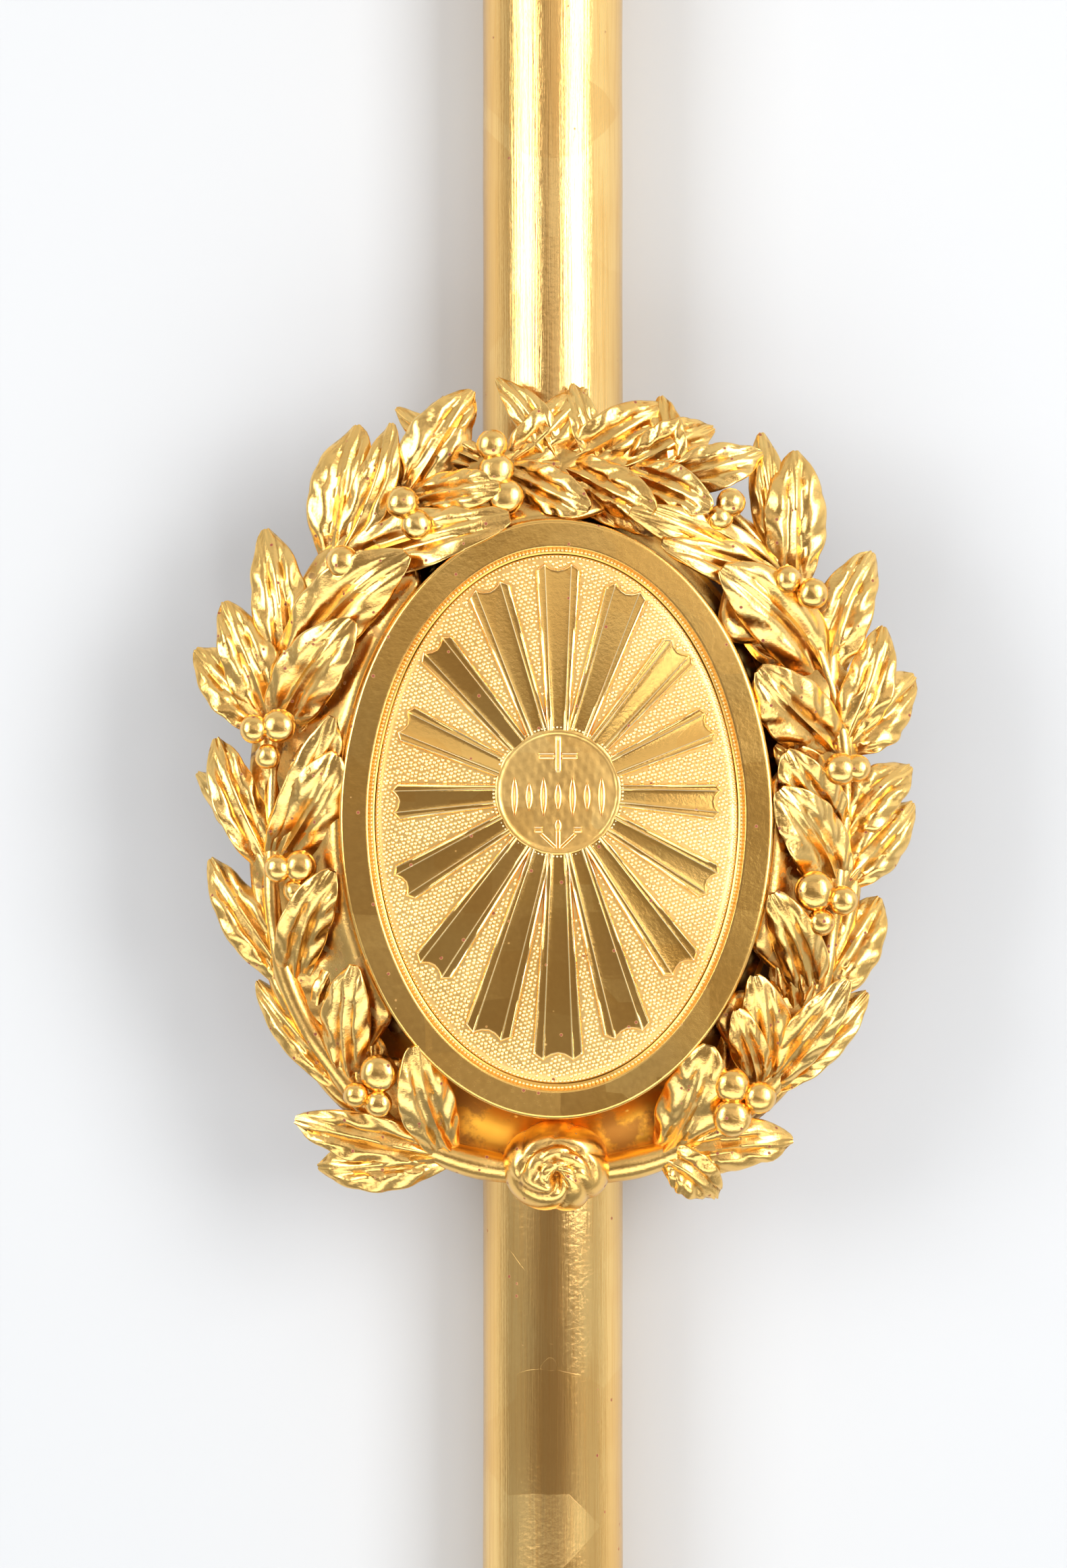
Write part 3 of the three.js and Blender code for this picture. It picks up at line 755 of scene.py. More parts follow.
def round_bar(length, along, seed):
    """A round bar with chamfered ends and a flat back, along axis 0 (X) or 1 (Y)."""
    half = length / 2
    rows = np.arange(-half + END_CHAMFER, half - END_CHAMFER + BAR_STEP / 2, BAR_STEP)
    rows[-1] = half - END_CHAMFER
    stations = np.concatenate([[-half], rows, [half]])
    radii = np.full(len(stations), POLE_RADIUS)
    radii[[0, -1]] = POLE_RADIUS - END_CHAMFER
    turn = full_turn(BAR_SIDES)
    rings = np.zeros((len(stations), BAR_SIDES, 3))
    rings[:, :, along] = stations[:, None]
    rings[:, :, 1 - along] = radii[:, None] * np.cos(turn)
    rings[:, :, 2] = AXIS_Z + radii[:, None] * np.sin(turn)
    flat = rings.reshape(-1, 3)
    wide = WIDE_WAVER * (1 + ripple(flat, 90, seed))
    fine = FINE_WAVER * (1 + ripple(flat, 25, seed + 1))
    push = 1 - wide - fine
    flat[:, 1 - along] *= push
    flat[:, 2] = np.maximum(AXIS_Z + (flat[:, 2] - AXIS_Z) * push, 0)
    if along == 1:
        rings = rings[:, ::-1]
    return skin(rings)


# %% Notches of the half-lap joint


def half_round_cutter(along, front):
    """The front or back half of a bar with the joint's gap, to cut a notch with."""
    radius = POLE_RADIUS + GAP
    sign = 1 if front else -1
    turn = np.linspace(0, math.pi, 49)
    section = np.stack([radius * np.cos(turn), sign * radius * np.sin(turn)], axis=1)
    lap_z = AXIS_Z - sign * GAP / 2
    rings = np.zeros((2, len(section), 3))
    rings[0, :, along] = -3 * POLE_RADIUS
    rings[1, :, along] = 3 * POLE_RADIUS
    rings[:, :, 1 - along] = section[:, 0]
    rings[:, :, 2] = np.where(section[:, 1] * sign > 0.01, AXIS_Z + section[:, 1], lap_z)
    cutter = make_piece("cutter", skin(rings), centre=(0, CROSSBAR_Y))
    recalculate_normals(cutter)
    return cutter


# %% Pole and crossbar
pole_length = pole_high[1] - pole_low[1]
bar_length = bar_high[0] - bar_low[0]
dressed("gilded_pole", round_bar(pole_length, 1, seed=11), pole_gold, "burnished_gold", "upright",
        centre=(0, 0), cutter=half_round_cutter(0, front=True))
dressed("gilded_crossbar", round_bar(bar_length, 0, seed=23), bar_gold, "burnished_gold", "crossbar",
        centre=(0, CROSSBAR_Y), cutter=half_round_cutter(1, front=False))

# %% [markdown]
# ## The medallion's frame
# One profile swept round an oval: a flange at the back, a deep cove, a rolled outer edge, the
# flat burnished rim, and a bevel down to the panel. The cove and the rim are one turning, so
# they are one mesh. A curve with a bevel profile would sweep it too, but rings of points can
# also waver as rubbed gesso does, and carry where painted shade, a painted reflection and the
# ungilded wood go. The back is hollowed to sit over the pole.

# %% Oval frame
OVAL_SEGMENTS = 360


def oval_ring(outset, z, segments=OVAL_SEGMENTS):
    """A ring round the medallion, set out from the rim's edge."""
    turn = full_turn(segments)
    x = (RIM_A + outset) * np.cos(turn)
    y = (RIM_B + outset) * np.sin(turn)
    return np.stack([x, y, np.full(segments, z)], axis=1)


# %% Profile and skin of the frame
RIM_WAVER = 0.10
OVAL_WAVER = 0.0016
# Each point of the profile: set out from the rim's edge, then its height from the rim's front.
FRAME_PROFILE = [
    (16.5, -36.0), (18.0, -35.0), (18.0, -25.0), (17.2, -24.1), (14.0, -23.9), (10.5, -23.4),
    (7.0, -22.3), (4.2, -20.6), (1.8, -18.2), (-0.2, -15.0), (-1.6, -11.5), (-2.4, -8.5),
    (-2.4, -6.0), (-1.6, -4.2), (-0.6, -3.1), (-0.1, -2.2), (0.0, -1.4), (-0.08, -0.8),
    (-0.35, -0.35), (-0.8, -0.08), (-1.2, 0.0), (-1.5, 0.0), (-5.0, 0.0), (-8.3, 0.0), (-8.6, 0.0),
    (-9.0, -0.15), (-9.2, -0.6), (-9.35, -1.4), (-9.6, -2.3), (-10.0, -3.0), (-10.6, -3.5),
    (-11.1, -3.7), (-11.2, -4.2), (-11.2, -14.0),
]


def make_frame():
    """The frame's skin. Its hollow is 2 behind the leaves, for ungilded wood painted dark as shade, and
    it marks painted shade low in the cove and a painted reflection on the bevel.
    """
    rings = np.stack([oval_ring(d, RIM_FRONT + z) for d, z in FRAME_PROFILE])
    flat = rings.reshape(-1, 3)
    flat[:, 2] -= RIM_WAVER * (1 + ripple(flat, 45, 5)) * (flat[:, 2] > RIM_FRONT - 3)
    flat[:, :2] *= (1 - OVAL_WAVER * (1 + ripple(flat, 30, 6)))[:, None]
    outset = np.repeat([d for d, _ in FRAME_PROFILE], OVAL_SEGMENTS)
    drop = np.repeat([z for _, z in FRAME_PROFILE], OVAL_SEGMENTS)
    behind = (outset > 5.0) & (drop < -20)
    bottom = smoothstep(-62, -76, flat[:, 1])
    # Painted shade: the lower part of the cove is marked as hollow, so it is painted darker.
    deep = smoothstep(-3, -8, drop) * bottom * 0.6
    # Painted reflection: the bevel is painted amber, as the gold ground would show in it.
    bevel = 0.33 * (outset < -9.3)
    # Behind the leaves the ungilded wood is painted dark as shade; at the bottom it gets amber, dust
    # and shade.
    hollow = np.where(behind, 2 - 1.4 * bottom, np.maximum(deep, bevel))
    points, faces = skin(rings)
    return points, faces, hollow


# %% The frame on its pole


def saddle_cutter():
    """The pole with its gap, to hollow the back of the frame."""
    turn = full_turn(BAR_SIDES)
    rings = np.zeros((2, BAR_SIDES, 3))
    rings[0, :, 1] = -2 * RIM_B
    rings[1, :, 1] = 2 * RIM_B
    rings[:, :, 0] = (POLE_RADIUS + GAP) * np.cos(turn)
    rings[:, :, 2] = AXIS_Z + (POLE_RADIUS + GAP) * np.sin(turn)
    cutter = make_piece("saddle", skin(rings), centre=(0, MEDALLION_Y))
    recalculate_normals(cutter)
    return cutter


dressed("oval_frame", make_frame(), rim_gold, "rim_gold", "medallion_frame",
        sharp=50, cutter=saddle_cutter())

# %% [markdown]
# ## The sunburst: where the rays lie
# The panel is a gilded board with a flat disc and sixteen burnished rays. On the real one they
# were drawn with a ruler round the disc, a little uneven, and they end close to the oval. Here a
# ray's direction and its length follow from its number, so no list of places is needed.

# %% Directions and lengths of the rays
SUN = np.array([0.5, 8.6])
DISC_RADIUS = 20
RAY_COUNT = 16
RAY_INNER_WIDTH = 7.4
RAY_SPREAD = 0.135
RAY_HEIGHT = 1.0
RAY_SCALLOP = 2.4
RAY_END_GAP = 5.2
RAY_END_SHIFT = 2.2
FIELD_A = RIM_A - FIELD_INSET
FIELD_B = RIM_B - FIELD_INSET
DOME_HEIGHT = 2.0


def domed(points):
    """Raises the points of the panel by its low dome."""
    raised = points.copy()
    inside = (points[:, 0] / FIELD_A) ** 2 + (points[:, 1] / FIELD_B) ** 2
    raised[:, 2] += DOME_HEIGHT * np.clip(1 - inside, 0, 1)
    return raised


def ray_angle(index):
    """Direction of a ray from the head, clockwise, in radians."""
    even = index / RAY_COUNT * 2 * math.pi
    return even + math.radians(3.5 * math.sin(even) - 7 * math.sin(2 * even))


def ray_end(angle):
    """Distance from the sun's middle to the end of the ray in a direction."""
    ux, uy = math.sin(angle), math.cos(angle)
    square = (ux / FIELD_A) ** 2 + (uy / FIELD_B) ** 2
    cross = SUN[0] * ux / FIELD_A**2 + SUN[1] * uy / FIELD_B**2
    rest = (SUN[0] / FIELD_A) ** 2 + (SUN[1] / FIELD_B) ** 2 - 1
    edge = (-cross + math.sqrt(cross**2 - square * rest)) / square
    return edge - RAY_END_GAP + RAY_END_SHIFT * math.cos(angle)


def half_width(along):
    """Half the width of a ray at a distance from the sun's middle."""
    return (RAY_INNER_WIDTH + RAY_SPREAD * (along - DISC_RADIUS)) / 2


# %% [markdown]
# ## The sunburst: the rays
# The rays stand a millimetre over the ground and are burnished, with a raised edge and two fine
# raised lines along them. They could be drawn as curves and given thickness. A grid of points
# that follows the outline is better here, because the edge and the lines then run true to the
# two ears and the scallop at the end. Each ray tilts a little, so that each has its own glint.

# %% Rays
INNER_LINE = 0.58
ACROSS = [0, 0.28, 0.46, 0.54, 0.56, 0.58, 0.60, 0.62, 0.70, 0.80, 0.88, 0.91, 0.935, 0.96, 0.98, 1]
FROM_END = [0, 0.15, 0.3, 0.45, 0.6, 0.8, 1.1, 1.6, 2.4, 3.5, 5]
EVEN_ROWS = 22
EVEN_ROWS_STOP = 7
RAY_COLUMNS = np.array([-share for share in ACROSS[:0:-1]] + ACROSS)[None, :]
EDGE_RISE = 0.30
LINE_RISE = 0.22
TILT_ACROSS = 0.28
TILT_ALONG = 0.3
RAY_CUP = 0.12


def ray_scallop(v):
    """How far the end of a ray is cut back: a hollow between two ears."""
    hollow = RAY_SCALLOP * 0.95 * np.clip(np.cos(v / INNER_LINE * math.pi / 2), 0, 1) ** 0.8
    outer = RAY_SCALLOP * (np.abs(v) - INNER_LINE) / (1 - INNER_LINE)
    return np.where(np.abs(v) < INNER_LINE, hollow, outer)


def ray_relief(rows, end):
    """Distance to a ray's border, its height, its raised edge and its inner lines."""
    half = half_width(rows)[:, None]
    border = np.minimum((1 - np.abs(RAY_COLUMNS)) * half, (end - rows)[:, None])
    edge = np.exp(-(((border - 0.45) / 0.22) ** 2))
    line = np.exp(-(((np.abs(RAY_COLUMNS) - INNER_LINE) * half / 0.17) ** 2)) * (border > 0.6)
    height = RAY_HEIGHT * (0.55 + 0.45 * smoothstep(0, 0.35, border))
    return border, height + EDGE_RISE * edge + LINE_RISE * line, edge, line


# %% One ray, and all of them


def make_ray(index):
    """One raised ray as a closed slab."""
    angle = ray_angle(index)
    end = ray_end(angle)
    v = RAY_COLUMNS
    start = DISC_RADIUS - 0.5
    even_rows = np.linspace(start, end - EVEN_ROWS_STOP, EVEN_ROWS)
    rows = np.concatenate([even_rows, end - np.array(FROM_END[::-1])])
    share = ((rows - start) / (end - start))[:, None]
    along = rows[:, None] - ray_scallop(v) * share**6
    across = v * half_width(rows)[:, None]
    border, height, edge, line = ray_relief(rows, end)
    tilt = TILT_ACROSS * math.sin(index * 2.3) * v
    tilt = tilt + TILT_ALONG * math.sin(index * 1.7) * (share - 0.5)
    tilt *= 0.25 + 1.3 * smoothstep(-0.35, 0.15, math.cos(angle))
    top = np.zeros((*border.shape, 3))
    top[:, :, 0] = SUN[0] + along * math.sin(angle) + across * math.cos(angle)
    top[:, :, 1] = SUN[1] + along * math.cos(angle) - across * math.sin(angle)
    top[:, :, 2] = FIELD_Z + height + (tilt + RAY_CUP * v**2) * smoothstep(0, 0.8, border)
    points, faces = slab(top, FIELD_Z - 1)
    raised = np.zeros(len(points))
    # The raised edge and lines get a negative hollow: a painted highlight in paler gold.
    raised[:edge.size] = -np.maximum(edge, 0.8 * line).ravel()
    return domed(points), faces, raised


rays = joined([make_ray(index) for index in range(RAY_COUNT)])
dressed("sun_rays", rays, ray_gold, "panel_gold", sharp=30)

# %% [markdown]
# ## The board
# The board under the relief is slightly domed, as the reflections in the photo show. A sphere
# cut off by an oval would be close, but rings that close up over the dome keep the rim exact.

# %% Board
BOARD_DEPTH = 10
BOARD_RINGS = 24


def make_board():
    """The oval board under the relief: rings that close up over its low dome."""
    edge = -FIELD_INSET - GAP
    rings = [oval_ring(edge, FIELD_Z - BOARD_DEPTH + GAP), oval_ring(edge, FIELD_Z - 0.2)]
    for share in np.linspace(0.995, 0.01, BOARD_RINGS):
        ring = oval_ring(edge, FIELD_Z)
        ring[:, :2] *= share
        rings.append(ring)
    points, faces = skin(np.stack(rings))
    top = len(points) - BOARD_RINGS * OVAL_SEGMENTS
    points[top:] = domed(points[top:])
    return points, faces


dressed("sunburst_board", make_board(), field_gold, "panel_gold", "medallion_panel")

# %% [markdown]
# ## The disc and its figures
# The disc is a gilded flat with a raised border. On it stand a small cross above, three nails
# below and a row of shallow spindles between them. Curves with a bevel could draw them, but
# every figure is a bar with a groove along it, so one slab set at other places, widths and
# lengths is enough.

# %% The disc
DISC_SIDES = 144
# Each point of the profile: its radius, then its height over the field.
DISC_PROFILE = [(20.0, -1.0), (20.0, 0.9), (19.7, 1.1), (19.0, 1.15), (18.6, 1.0), (18.2, 0.85)]
DISC_PROFILE += [(radius, 0.86) for radius in np.linspace(17.6, 0.3, 30)]


def make_disc():
    """The sun's disc: a flat with a raised border, a little uneven."""
    turn = full_turn(DISC_SIDES)
    rings = np.zeros((len(DISC_PROFILE), DISC_SIDES, 3))
    for row, (radius, z) in enumerate(DISC_PROFILE):
        rings[row, :, 0] = SUN[0] + radius * np.cos(turn)
        rings[row, :, 1] = SUN[1] + radius * np.sin(turn)
        rings[row, :, 2] = FIELD_Z + z
    flat = rings.reshape(-1, 3)
    uneven = 0.04 * ripple(flat, 9, 31) + 0.045 * ripple(flat, 2.6, 33)
    flat[:, 2] += uneven * (flat[:, 2] > FIELD_Z)
    points, faces = skin(rings)
    return domed(points), faces


# %% Figures on the disc
DISC_FACE = 0.87
STROKE_HEIGHT = 0.6
STROKE_ROWS = np.array([0, 0.06, 0.14, 0.3, 0.5, 0.7, 0.86, 0.94, 1])
STROKE_COLUMNS = np.array([-1, -0.82, -0.5, -0.2, 0, 0.2, 0.5, 0.82, 1])
STROKE_RELIEF = np.array([0, 0.85, 1, 0.45, 0.25, 0.45, 1, 0.85, 0])


def make_stroke(start, end, width, pointed=False):
    """A raised bar with a groove along it, from start to end, on the disc."""
    start, end = SUN + np.array(start), SUN + np.array(end)
    run = end - start
    length = np.linalg.norm(run)
    along = run / length
    side = np.array([along[1], -along[0]])
    rows, v = STROKE_ROWS, STROKE_COLUMNS
    taper = np.sin(np.pi * rows) ** 0.8 * 0.96 + 0.04 if pointed else np.ones(len(rows))
    top = np.zeros((len(rows), len(v), 3))
    middle = start[None, :] + rows[:, None] * run[None, :]
    spread = v[None, :] * (width / 2) * taper[:, None]
    top[:, :, :2] = middle[:, None, :] + spread[:, :, None] * side[None, None, :]
    fade = smoothstep(-0.05, 0.35, np.minimum(rows, 1 - rows) * length)
    top[:, :, 2] = FIELD_Z + DISC_FACE + STROKE_HEIGHT * STROKE_RELIEF[None, :] * fade[:, None]
    points, faces = slab(top, FIELD_Z + 0.3)
    edges = np.zeros(len(points))
    # The ridges of each figure get a negative hollow: a painted highlight in paler gold.
    edges[:spread.size] = np.tile(np.where(STROKE_RELIEF > 0.8, -0.9, 0), len(rows))
    return domed(points), faces, edges


def disc_figures():
    """The small cross, the row of spindles and the three nails."""
    forms = [
        make_stroke((0, 17.8), (0, 6.2), 2.0),
        make_stroke((-6.2, 11.4), (-1.0, 11.4), 2.2),
        make_stroke((1.0, 11.4), (6.2, 11.4), 2.2),
    ]
    for column in range(7):
        place = 4.6 * (column - 3)
        tall = 6.2 if column % 2 == 0 else 4.4
        forms.append(make_stroke((place, -1.6 - tall), (place, -1.6 + tall), 2.5, pointed=True))
    forms.append(make_stroke((0, -8.6), (0, -13.0), 2.4, pointed=True))
    forms.append(make_stroke((0, -12.2), (0, -18.2), 1.6))
    for side in (-1, 1):
        forms.append(make_stroke((side * 5.6, -13.2), (side * 0.7, -17.8), 1.3))
        forms.append(make_stroke((side * 7.6, -12.0), (side * 4.9, -12.0), 2.1))
    return forms


# %% Disc with its figures
disc = joined([make_disc()] + disc_figures())
dressed("sun_disc", disc, disc_gold, "panel_gold", sharp=35)

# %% [markdown]
# ## Pearls and beads
# The ground between the rays is punched with a ring-shaped tool into thousands of tiny pearls,
# and rows of beads run round the field, the bevel and the disc. A bump texture would give their
# glitter but not their outline close by. One geometry node tree sets a small round form on each
# point of a cloud, a little bigger or smaller by chance with a fixed seed.

# %% Geometry nodes: a bead on every point
GEOMETRY = "NodeSocketGeometry"
BEAD_SEGMENTS = 6
BEAD_RINGS = 4
SIZE_SEED = 7
SPIN_SEED = 11
HALF_TURN = 3.14


def bead_tree(name, material):
    """Sets a squashed sphere of few faces on each point of the incoming mesh."""
    tree = bpy.data.node_groups.new(name, "GeometryNodeTree")
    tree.interface.new_socket("Points", in_out="INPUT", socket_type=GEOMETRY)
    tree.interface.new_socket("Beads", in_out="OUTPUT", socket_type=GEOMETRY)
    for label, value in (("Radius", 0.5), ("Flatness", 0.7), ("Spread", 0.1)):
        tree.interface.new_socket(label, in_out="INPUT", socket_type=FLOAT).default_value = value
    given = tree.nodes.new("NodeGroupInput")
    result = tree.nodes.new("NodeGroupOutput")

    ball = add_node(tree, "GeometryNodeMeshUVSphere", Segments=BEAD_SEGMENTS, Rings=BEAD_RINGS)
    feed(tree, ball.inputs["Radius"], given.outputs["Radius"])
    smooth = tree.nodes.new("GeometryNodeSetShadeSmooth")
    feed(tree, smooth.inputs["Geometry"], ball.outputs["Mesh"])

    size = add_node(tree, "FunctionNodeRandomValue", data_type="FLOAT", Seed=SIZE_SEED)
    feed(tree, size.inputs[2], maths(tree, "SUBTRACT", 1.0, given.outputs["Spread"]))
    feed(tree, size.inputs[3], maths(tree, "ADD", 1.0, given.outputs["Spread"]))
    width = size.outputs[1]
    tall = maths(tree, "MULTIPLY", width, given.outputs["Flatness"])
    scale = tree.nodes.new("ShaderNodeCombineXYZ")
    for socket, value in zip(scale.inputs, (width, width, tall)):
        feed(tree, socket, value)
    spin = add_node(tree, "FunctionNodeRandomValue", data_type="FLOAT", Seed=SPIN_SEED)
    feed(tree, spin.inputs[3], HALF_TURN)
    turn = tree.nodes.new("ShaderNodeCombineXYZ")
    feed(tree, turn.inputs["Z"], spin.outputs[1])

    place = tree.nodes.new("GeometryNodeInstanceOnPoints")
    feed(tree, place.inputs["Points"], given.outputs["Points"])
    feed(tree, place.inputs["Instance"], smooth.outputs["Geometry"])
    feed(tree, place.inputs["Scale"], scale.outputs[0])
    feed(tree, place.inputs["Rotation"], turn.outputs[0])
    real = tree.nodes.new("GeometryNodeRealizeInstances")
    feed(tree, real.inputs["Geometry"], place.outputs["Instances"])
    paint = add_node(tree, "GeometryNodeSetMaterial", Material=material)
    feed(tree, paint.inputs["Geometry"], real.outputs["Geometry"])
    feed(tree, result.inputs["Beads"], paint.outputs["Geometry"])
    return tree


# %% Beads as a finished piece


def beads_on(name, points, radius, flatness, spread):
    """A piece with a bead on each point of an (N, 3) array, in millimetres."""
    tree = bead_tree(name + "_nodes", highlit_pearl_gold)
    piece = make_piece(name, (points, []))
    nodes = piece.modifiers.new("beads", "NODES")
    nodes.node_group = tree
    values = {"Radius": radius * MM, "Flatness": flatness, "Spread": spread}
    for socket in tree.interface.items_tree:
        if socket.in_out == "INPUT" and socket.name in values:
            nodes[socket.identifier] = values[socket.name]
    finished_mesh(piece)
    print(name, len(points), "beads", len(piece.data.polygons), "faces")
    dress(piece, highlit_pearl_gold, "panel_gold")


# %% [markdown]
# ## The punched ground
# The gilder sets one punch mark beside the next, as closely as they will go, so the pearls lie
# in wandering rows. Scattering points at random would leave gaps and clumps. A honeycomb of
# points, turned and shaken a little, comes closer, and those on a ray or the disc are left out.

# %% Pearls of the ground
PEARL_PITCH = 1.38
PEARL_SHAKE = 0.13
PEARL_TURN = math.radians(17)
PEARL_SEED = 3
GROUND_INSET = 2.1


def ground_points():
    """Honeycomb points on the field that are clear of the rays and the disc."""
    draw = np.random.default_rng(PEARL_SEED)
    rows = np.arange(-1.2 * FIELD_B, 1.2 * FIELD_B, PEARL_PITCH * 0.87)
    points = []
    for number, y in enumerate(rows):
        x = np.arange(-FIELD_B, FIELD_B, PEARL_PITCH) + (number % 2) * PEARL_PITCH / 2
        points.append(np.stack([x, np.full(len(x), y)], axis=1))
    points = np.concatenate(points)
    cos, sin = math.cos(PEARL_TURN), math.sin(PEARL_TURN)
    points = points @ np.array([[cos, sin], [-sin, cos]])
    points += draw.normal(scale=PEARL_SHAKE, size=points.shape)
    inside = points / (np.array([FIELD_A, FIELD_B]) - GROUND_INSET)
    keep = (inside**2).sum(axis=1) < 1
    local = points - SUN
    keep &= np.hypot(local[:, 0], local[:, 1]) > DISC_RADIUS + 1.5
    for index in range(RAY_COUNT):
        angle = ray_angle(index)
        end = ray_end(angle)
        along = local @ np.array([math.sin(angle), math.cos(angle)])
        across = np.abs(local @ np.array([math.cos(angle), -math.sin(angle)]))
        width = half_width(along)
        v = across / width
        scallop = np.where(v < INNER_LINE, RAY_SCALLOP * np.cos(v / INNER_LINE * math.pi / 2),
                           RAY_SCALLOP * (v - INNER_LINE) / (1 - INNER_LINE))
        keep &= ~((along > 0) & (along < end - scallop + 0.6) & (across < width + 0.5))
    points = points[keep]
    return domed(np.column_stack([points, np.full(len(points), FIELD_Z + 0.05)]))


beads_on("ground_pearls", ground_points(), radius=0.64, flatness=0.75, spread=0.14)

# %% [markdown]
# ## The bead rows
# Three rows of beads edge the field, the bevel and the disc. They are spaced by length along
# the oval and not by angle, because equal angles would crowd them at the sides.

# %% Beads along the edges
BEAD_PITCH = 1.25


def oval_points(outset, z, pitch):
    """Points spaced evenly along an oval round the medallion."""
    ring = oval_ring(outset, z, 4000)
    steps = np.linalg.norm(np.diff(ring, axis=0, append=ring[:1]), axis=1)
    run = np.concatenate([[0], np.cumsum(steps)[:-1]])
    count = round(steps.sum() / pitch)
    places = np.interp(np.arange(count) * steps.sum() / count, run, np.arange(len(ring)))
    return ring[np.round(places).astype(int) % len(ring)]


def disc_points(radius, z, pitch):
    """Points spaced evenly along a circle round the sun's middle."""
    count = round(2 * math.pi * radius / pitch)
    turn = full_turn(count)
    x = SUN[0] + radius * np.cos(turn)
    y = SUN[1] + radius * np.sin(turn)
    return np.stack([x, y, np.full(count, z)], axis=1)


bead_rows = np.concatenate([
    oval_points(-FIELD_INSET - 0.9, FIELD_Z + 0.2, BEAD_PITCH),
    oval_points(-10.1, FIELD_Z + 1.0, BEAD_PITCH),
    domed(disc_points(DISC_RADIUS + 0.5, FIELD_Z + 0.6, 1.2)),
])
beads_on("bead_rows", bead_rows, radius=0.56, flatness=0.9, spread=0.06)

# %% [markdown]
# ## The wreath: its layout
# Two laurel branches rise from a knot and nearly meet at the head, carved from one block with
# the leaves in small sprigs. A scatter of leaves by chance would look like a hedge. So the sprigs
# stand at angles from the knot, in degrees, that were judged beside the photo. Each leaf
# has its lean from the branch, then its length and width in percent of one size. A berry has its
# angle, then its distance outwards and its size, in percent too.

# %% Layout of the branches
STEM_BESIDE_RIM = 23
STEM_BELOW_RIM = 18
STEM_RISE = 15
STEM_Z = DRUM_BACK + STEM_RISE
LEAF_SIZE = 50
BERRY_SIZE = 11.8

LEFT_SPRIGS = [
    (24, [(31, 78, 36), (10, 94, 33), (-56, 72, 36)]),
    (45, [(2, 86, 26), (-45, 78, 32)]),
    (65, [(19, 90, 32), (-40, 74, 32)]),
    (84, [(39, 72, 28), (22, 84, 32), (-28, 100, 34), (-37, 80, 42)]),
    (106, [(58, 70, 36), (33, 84, 36), (-30, 82, 40)]),
    (115, [(26, 90, 36), (-32, 106, 44)]),
    (135, [(33, 86, 42), (19, 92, 28), (-39, 112, 38)]),
    (151, [(44, 70, 20), (32, 80, 40), (-24, 58, 28)]),
    (168, [(138, 77, 22)]),
    (172, [(43, 68, 32), (-38, 56, 30)]),
    (180, [(124, 69, 24)]),
    (184, [(36, 70, 34), (-29, 60, 32)]),
    (188, [(112, 57, 20)]),
    (196, [(45, 58, 32), (-14, 54, 30)]),
    (203, [(117, 58, 26), (40, 62, 30)]),
]
RIGHT_SPRIGS = [
    (24, [(72, 40, 32), (17, 76, 36), (-52, 74, 40)]),
    (45, [(9, 86, 30), (-3, 84, 28), (-64, 54, 24), (-48, 72, 32)]),
    (62, [(15, 72, 40), (-45, 72, 32)]),
    (81, [(41, 66, 34), (-42, 70, 40)]),
    (89, [(49, 58, 34), (-40, 62, 36)]),
    (103, [(57, 64, 40), (29, 78, 32), (-43, 70, 42)]),
    (115, [(40, 80, 38), (-32, 92, 44)]),
    (130, [(23, 98, 28), (36, 84, 40), (-42, 86, 28), (-35, 112, 30)]),
]
LEFT_BERRIES = [
    (42, -95, 105), (42, -10, 70), (38, -35, 75),
    (82, -85, 90), (82, -25, 75), (78, -65, 65),
    (105, -15, 95), (104, 50, 80), (100, 5, 70),
    (134, -15, 90),
    (149, -5, 90), (149, -75, 85),
    (168, 60, 85), (168, -10, 95), (169, -85, 100),
]
RIGHT_BERRIES = [
    (40, -75, 100), (42, 0, 90), (36, -10, 105),
    (78, -75, 110), (77, 5, 80), (73, -45, 75),
    (98, -10, 90), (98, 35, 75),
    (126, 35, 85), (130, -5, 75),
    (146, 25, 80), (146, -25, 70),
]
BRANCHES = [
    {"side": -1, "from": 7, "to": 206, "sprigs": LEFT_SPRIGS, "berries": LEFT_BERRIES},
    {"side": 1, "from": 7, "to": 146, "sprigs": RIGHT_SPRIGS, "berries": RIGHT_BERRIES},
]
for branch in BRANCHES:
    leaf_count = sum(len(leaves) for _, leaves in branch["sprigs"])
    print("branch", branch["side"], leaf_count, "leaves", len(branch["berries"]), "berries")

# %% [markdown]
# ## The wreath: the line of a branch
# Both stems follow one oval outside the rim, a little fuller at its four corners. A point on it,
# with the way along and the way outwards, is all that leaves, berries and stems need to be set
# in place. A curve object could give the same, but a formula can be asked at any angle.

# %% Places along a stem


def stem_point(side, degrees):
    """A point of the stem's oval, at an angle from the knot."""
    angle = math.radians(degrees)
    full = 1 + 0.05 * math.sin(2 * angle) ** 2
    x = side * (RIM_A + STEM_BESIDE_RIM) * full * math.sin(angle)
    y = -(RIM_B + STEM_BELOW_RIM) * full * math.cos(angle)
    return np.array([x, y, STEM_Z])


def stem_at(side, degrees, outset=0.0):
    """Place, way along and way outwards of the stem, at an angle from the knot."""
    along = stem_point(side, degrees + 0.5) - stem_point(side, degrees - 0.5)
    along /= np.linalg.norm(along)
    outwards = np.array([along[1] * side, -along[0] * side, 0])
    return stem_point(side, degrees) + outwards * outset, along, outwards


# %% [markdown]
# ## The wreath: one leaf
# A carved laurel leaf has a midrib, slanting flutes that end in soft lobes at the edge, and a
# thick rounded margin, all softened by gesso. Sculpting each by hand would be closest to the
# carver's way, but there are more than eighty. So one leaf is a closed grid of points: a bent
# midrib, a width along it, and a relief over it. A few traits drawn by chance from the leaf's
# own seed make each leaf different from the next, but the same on each run.

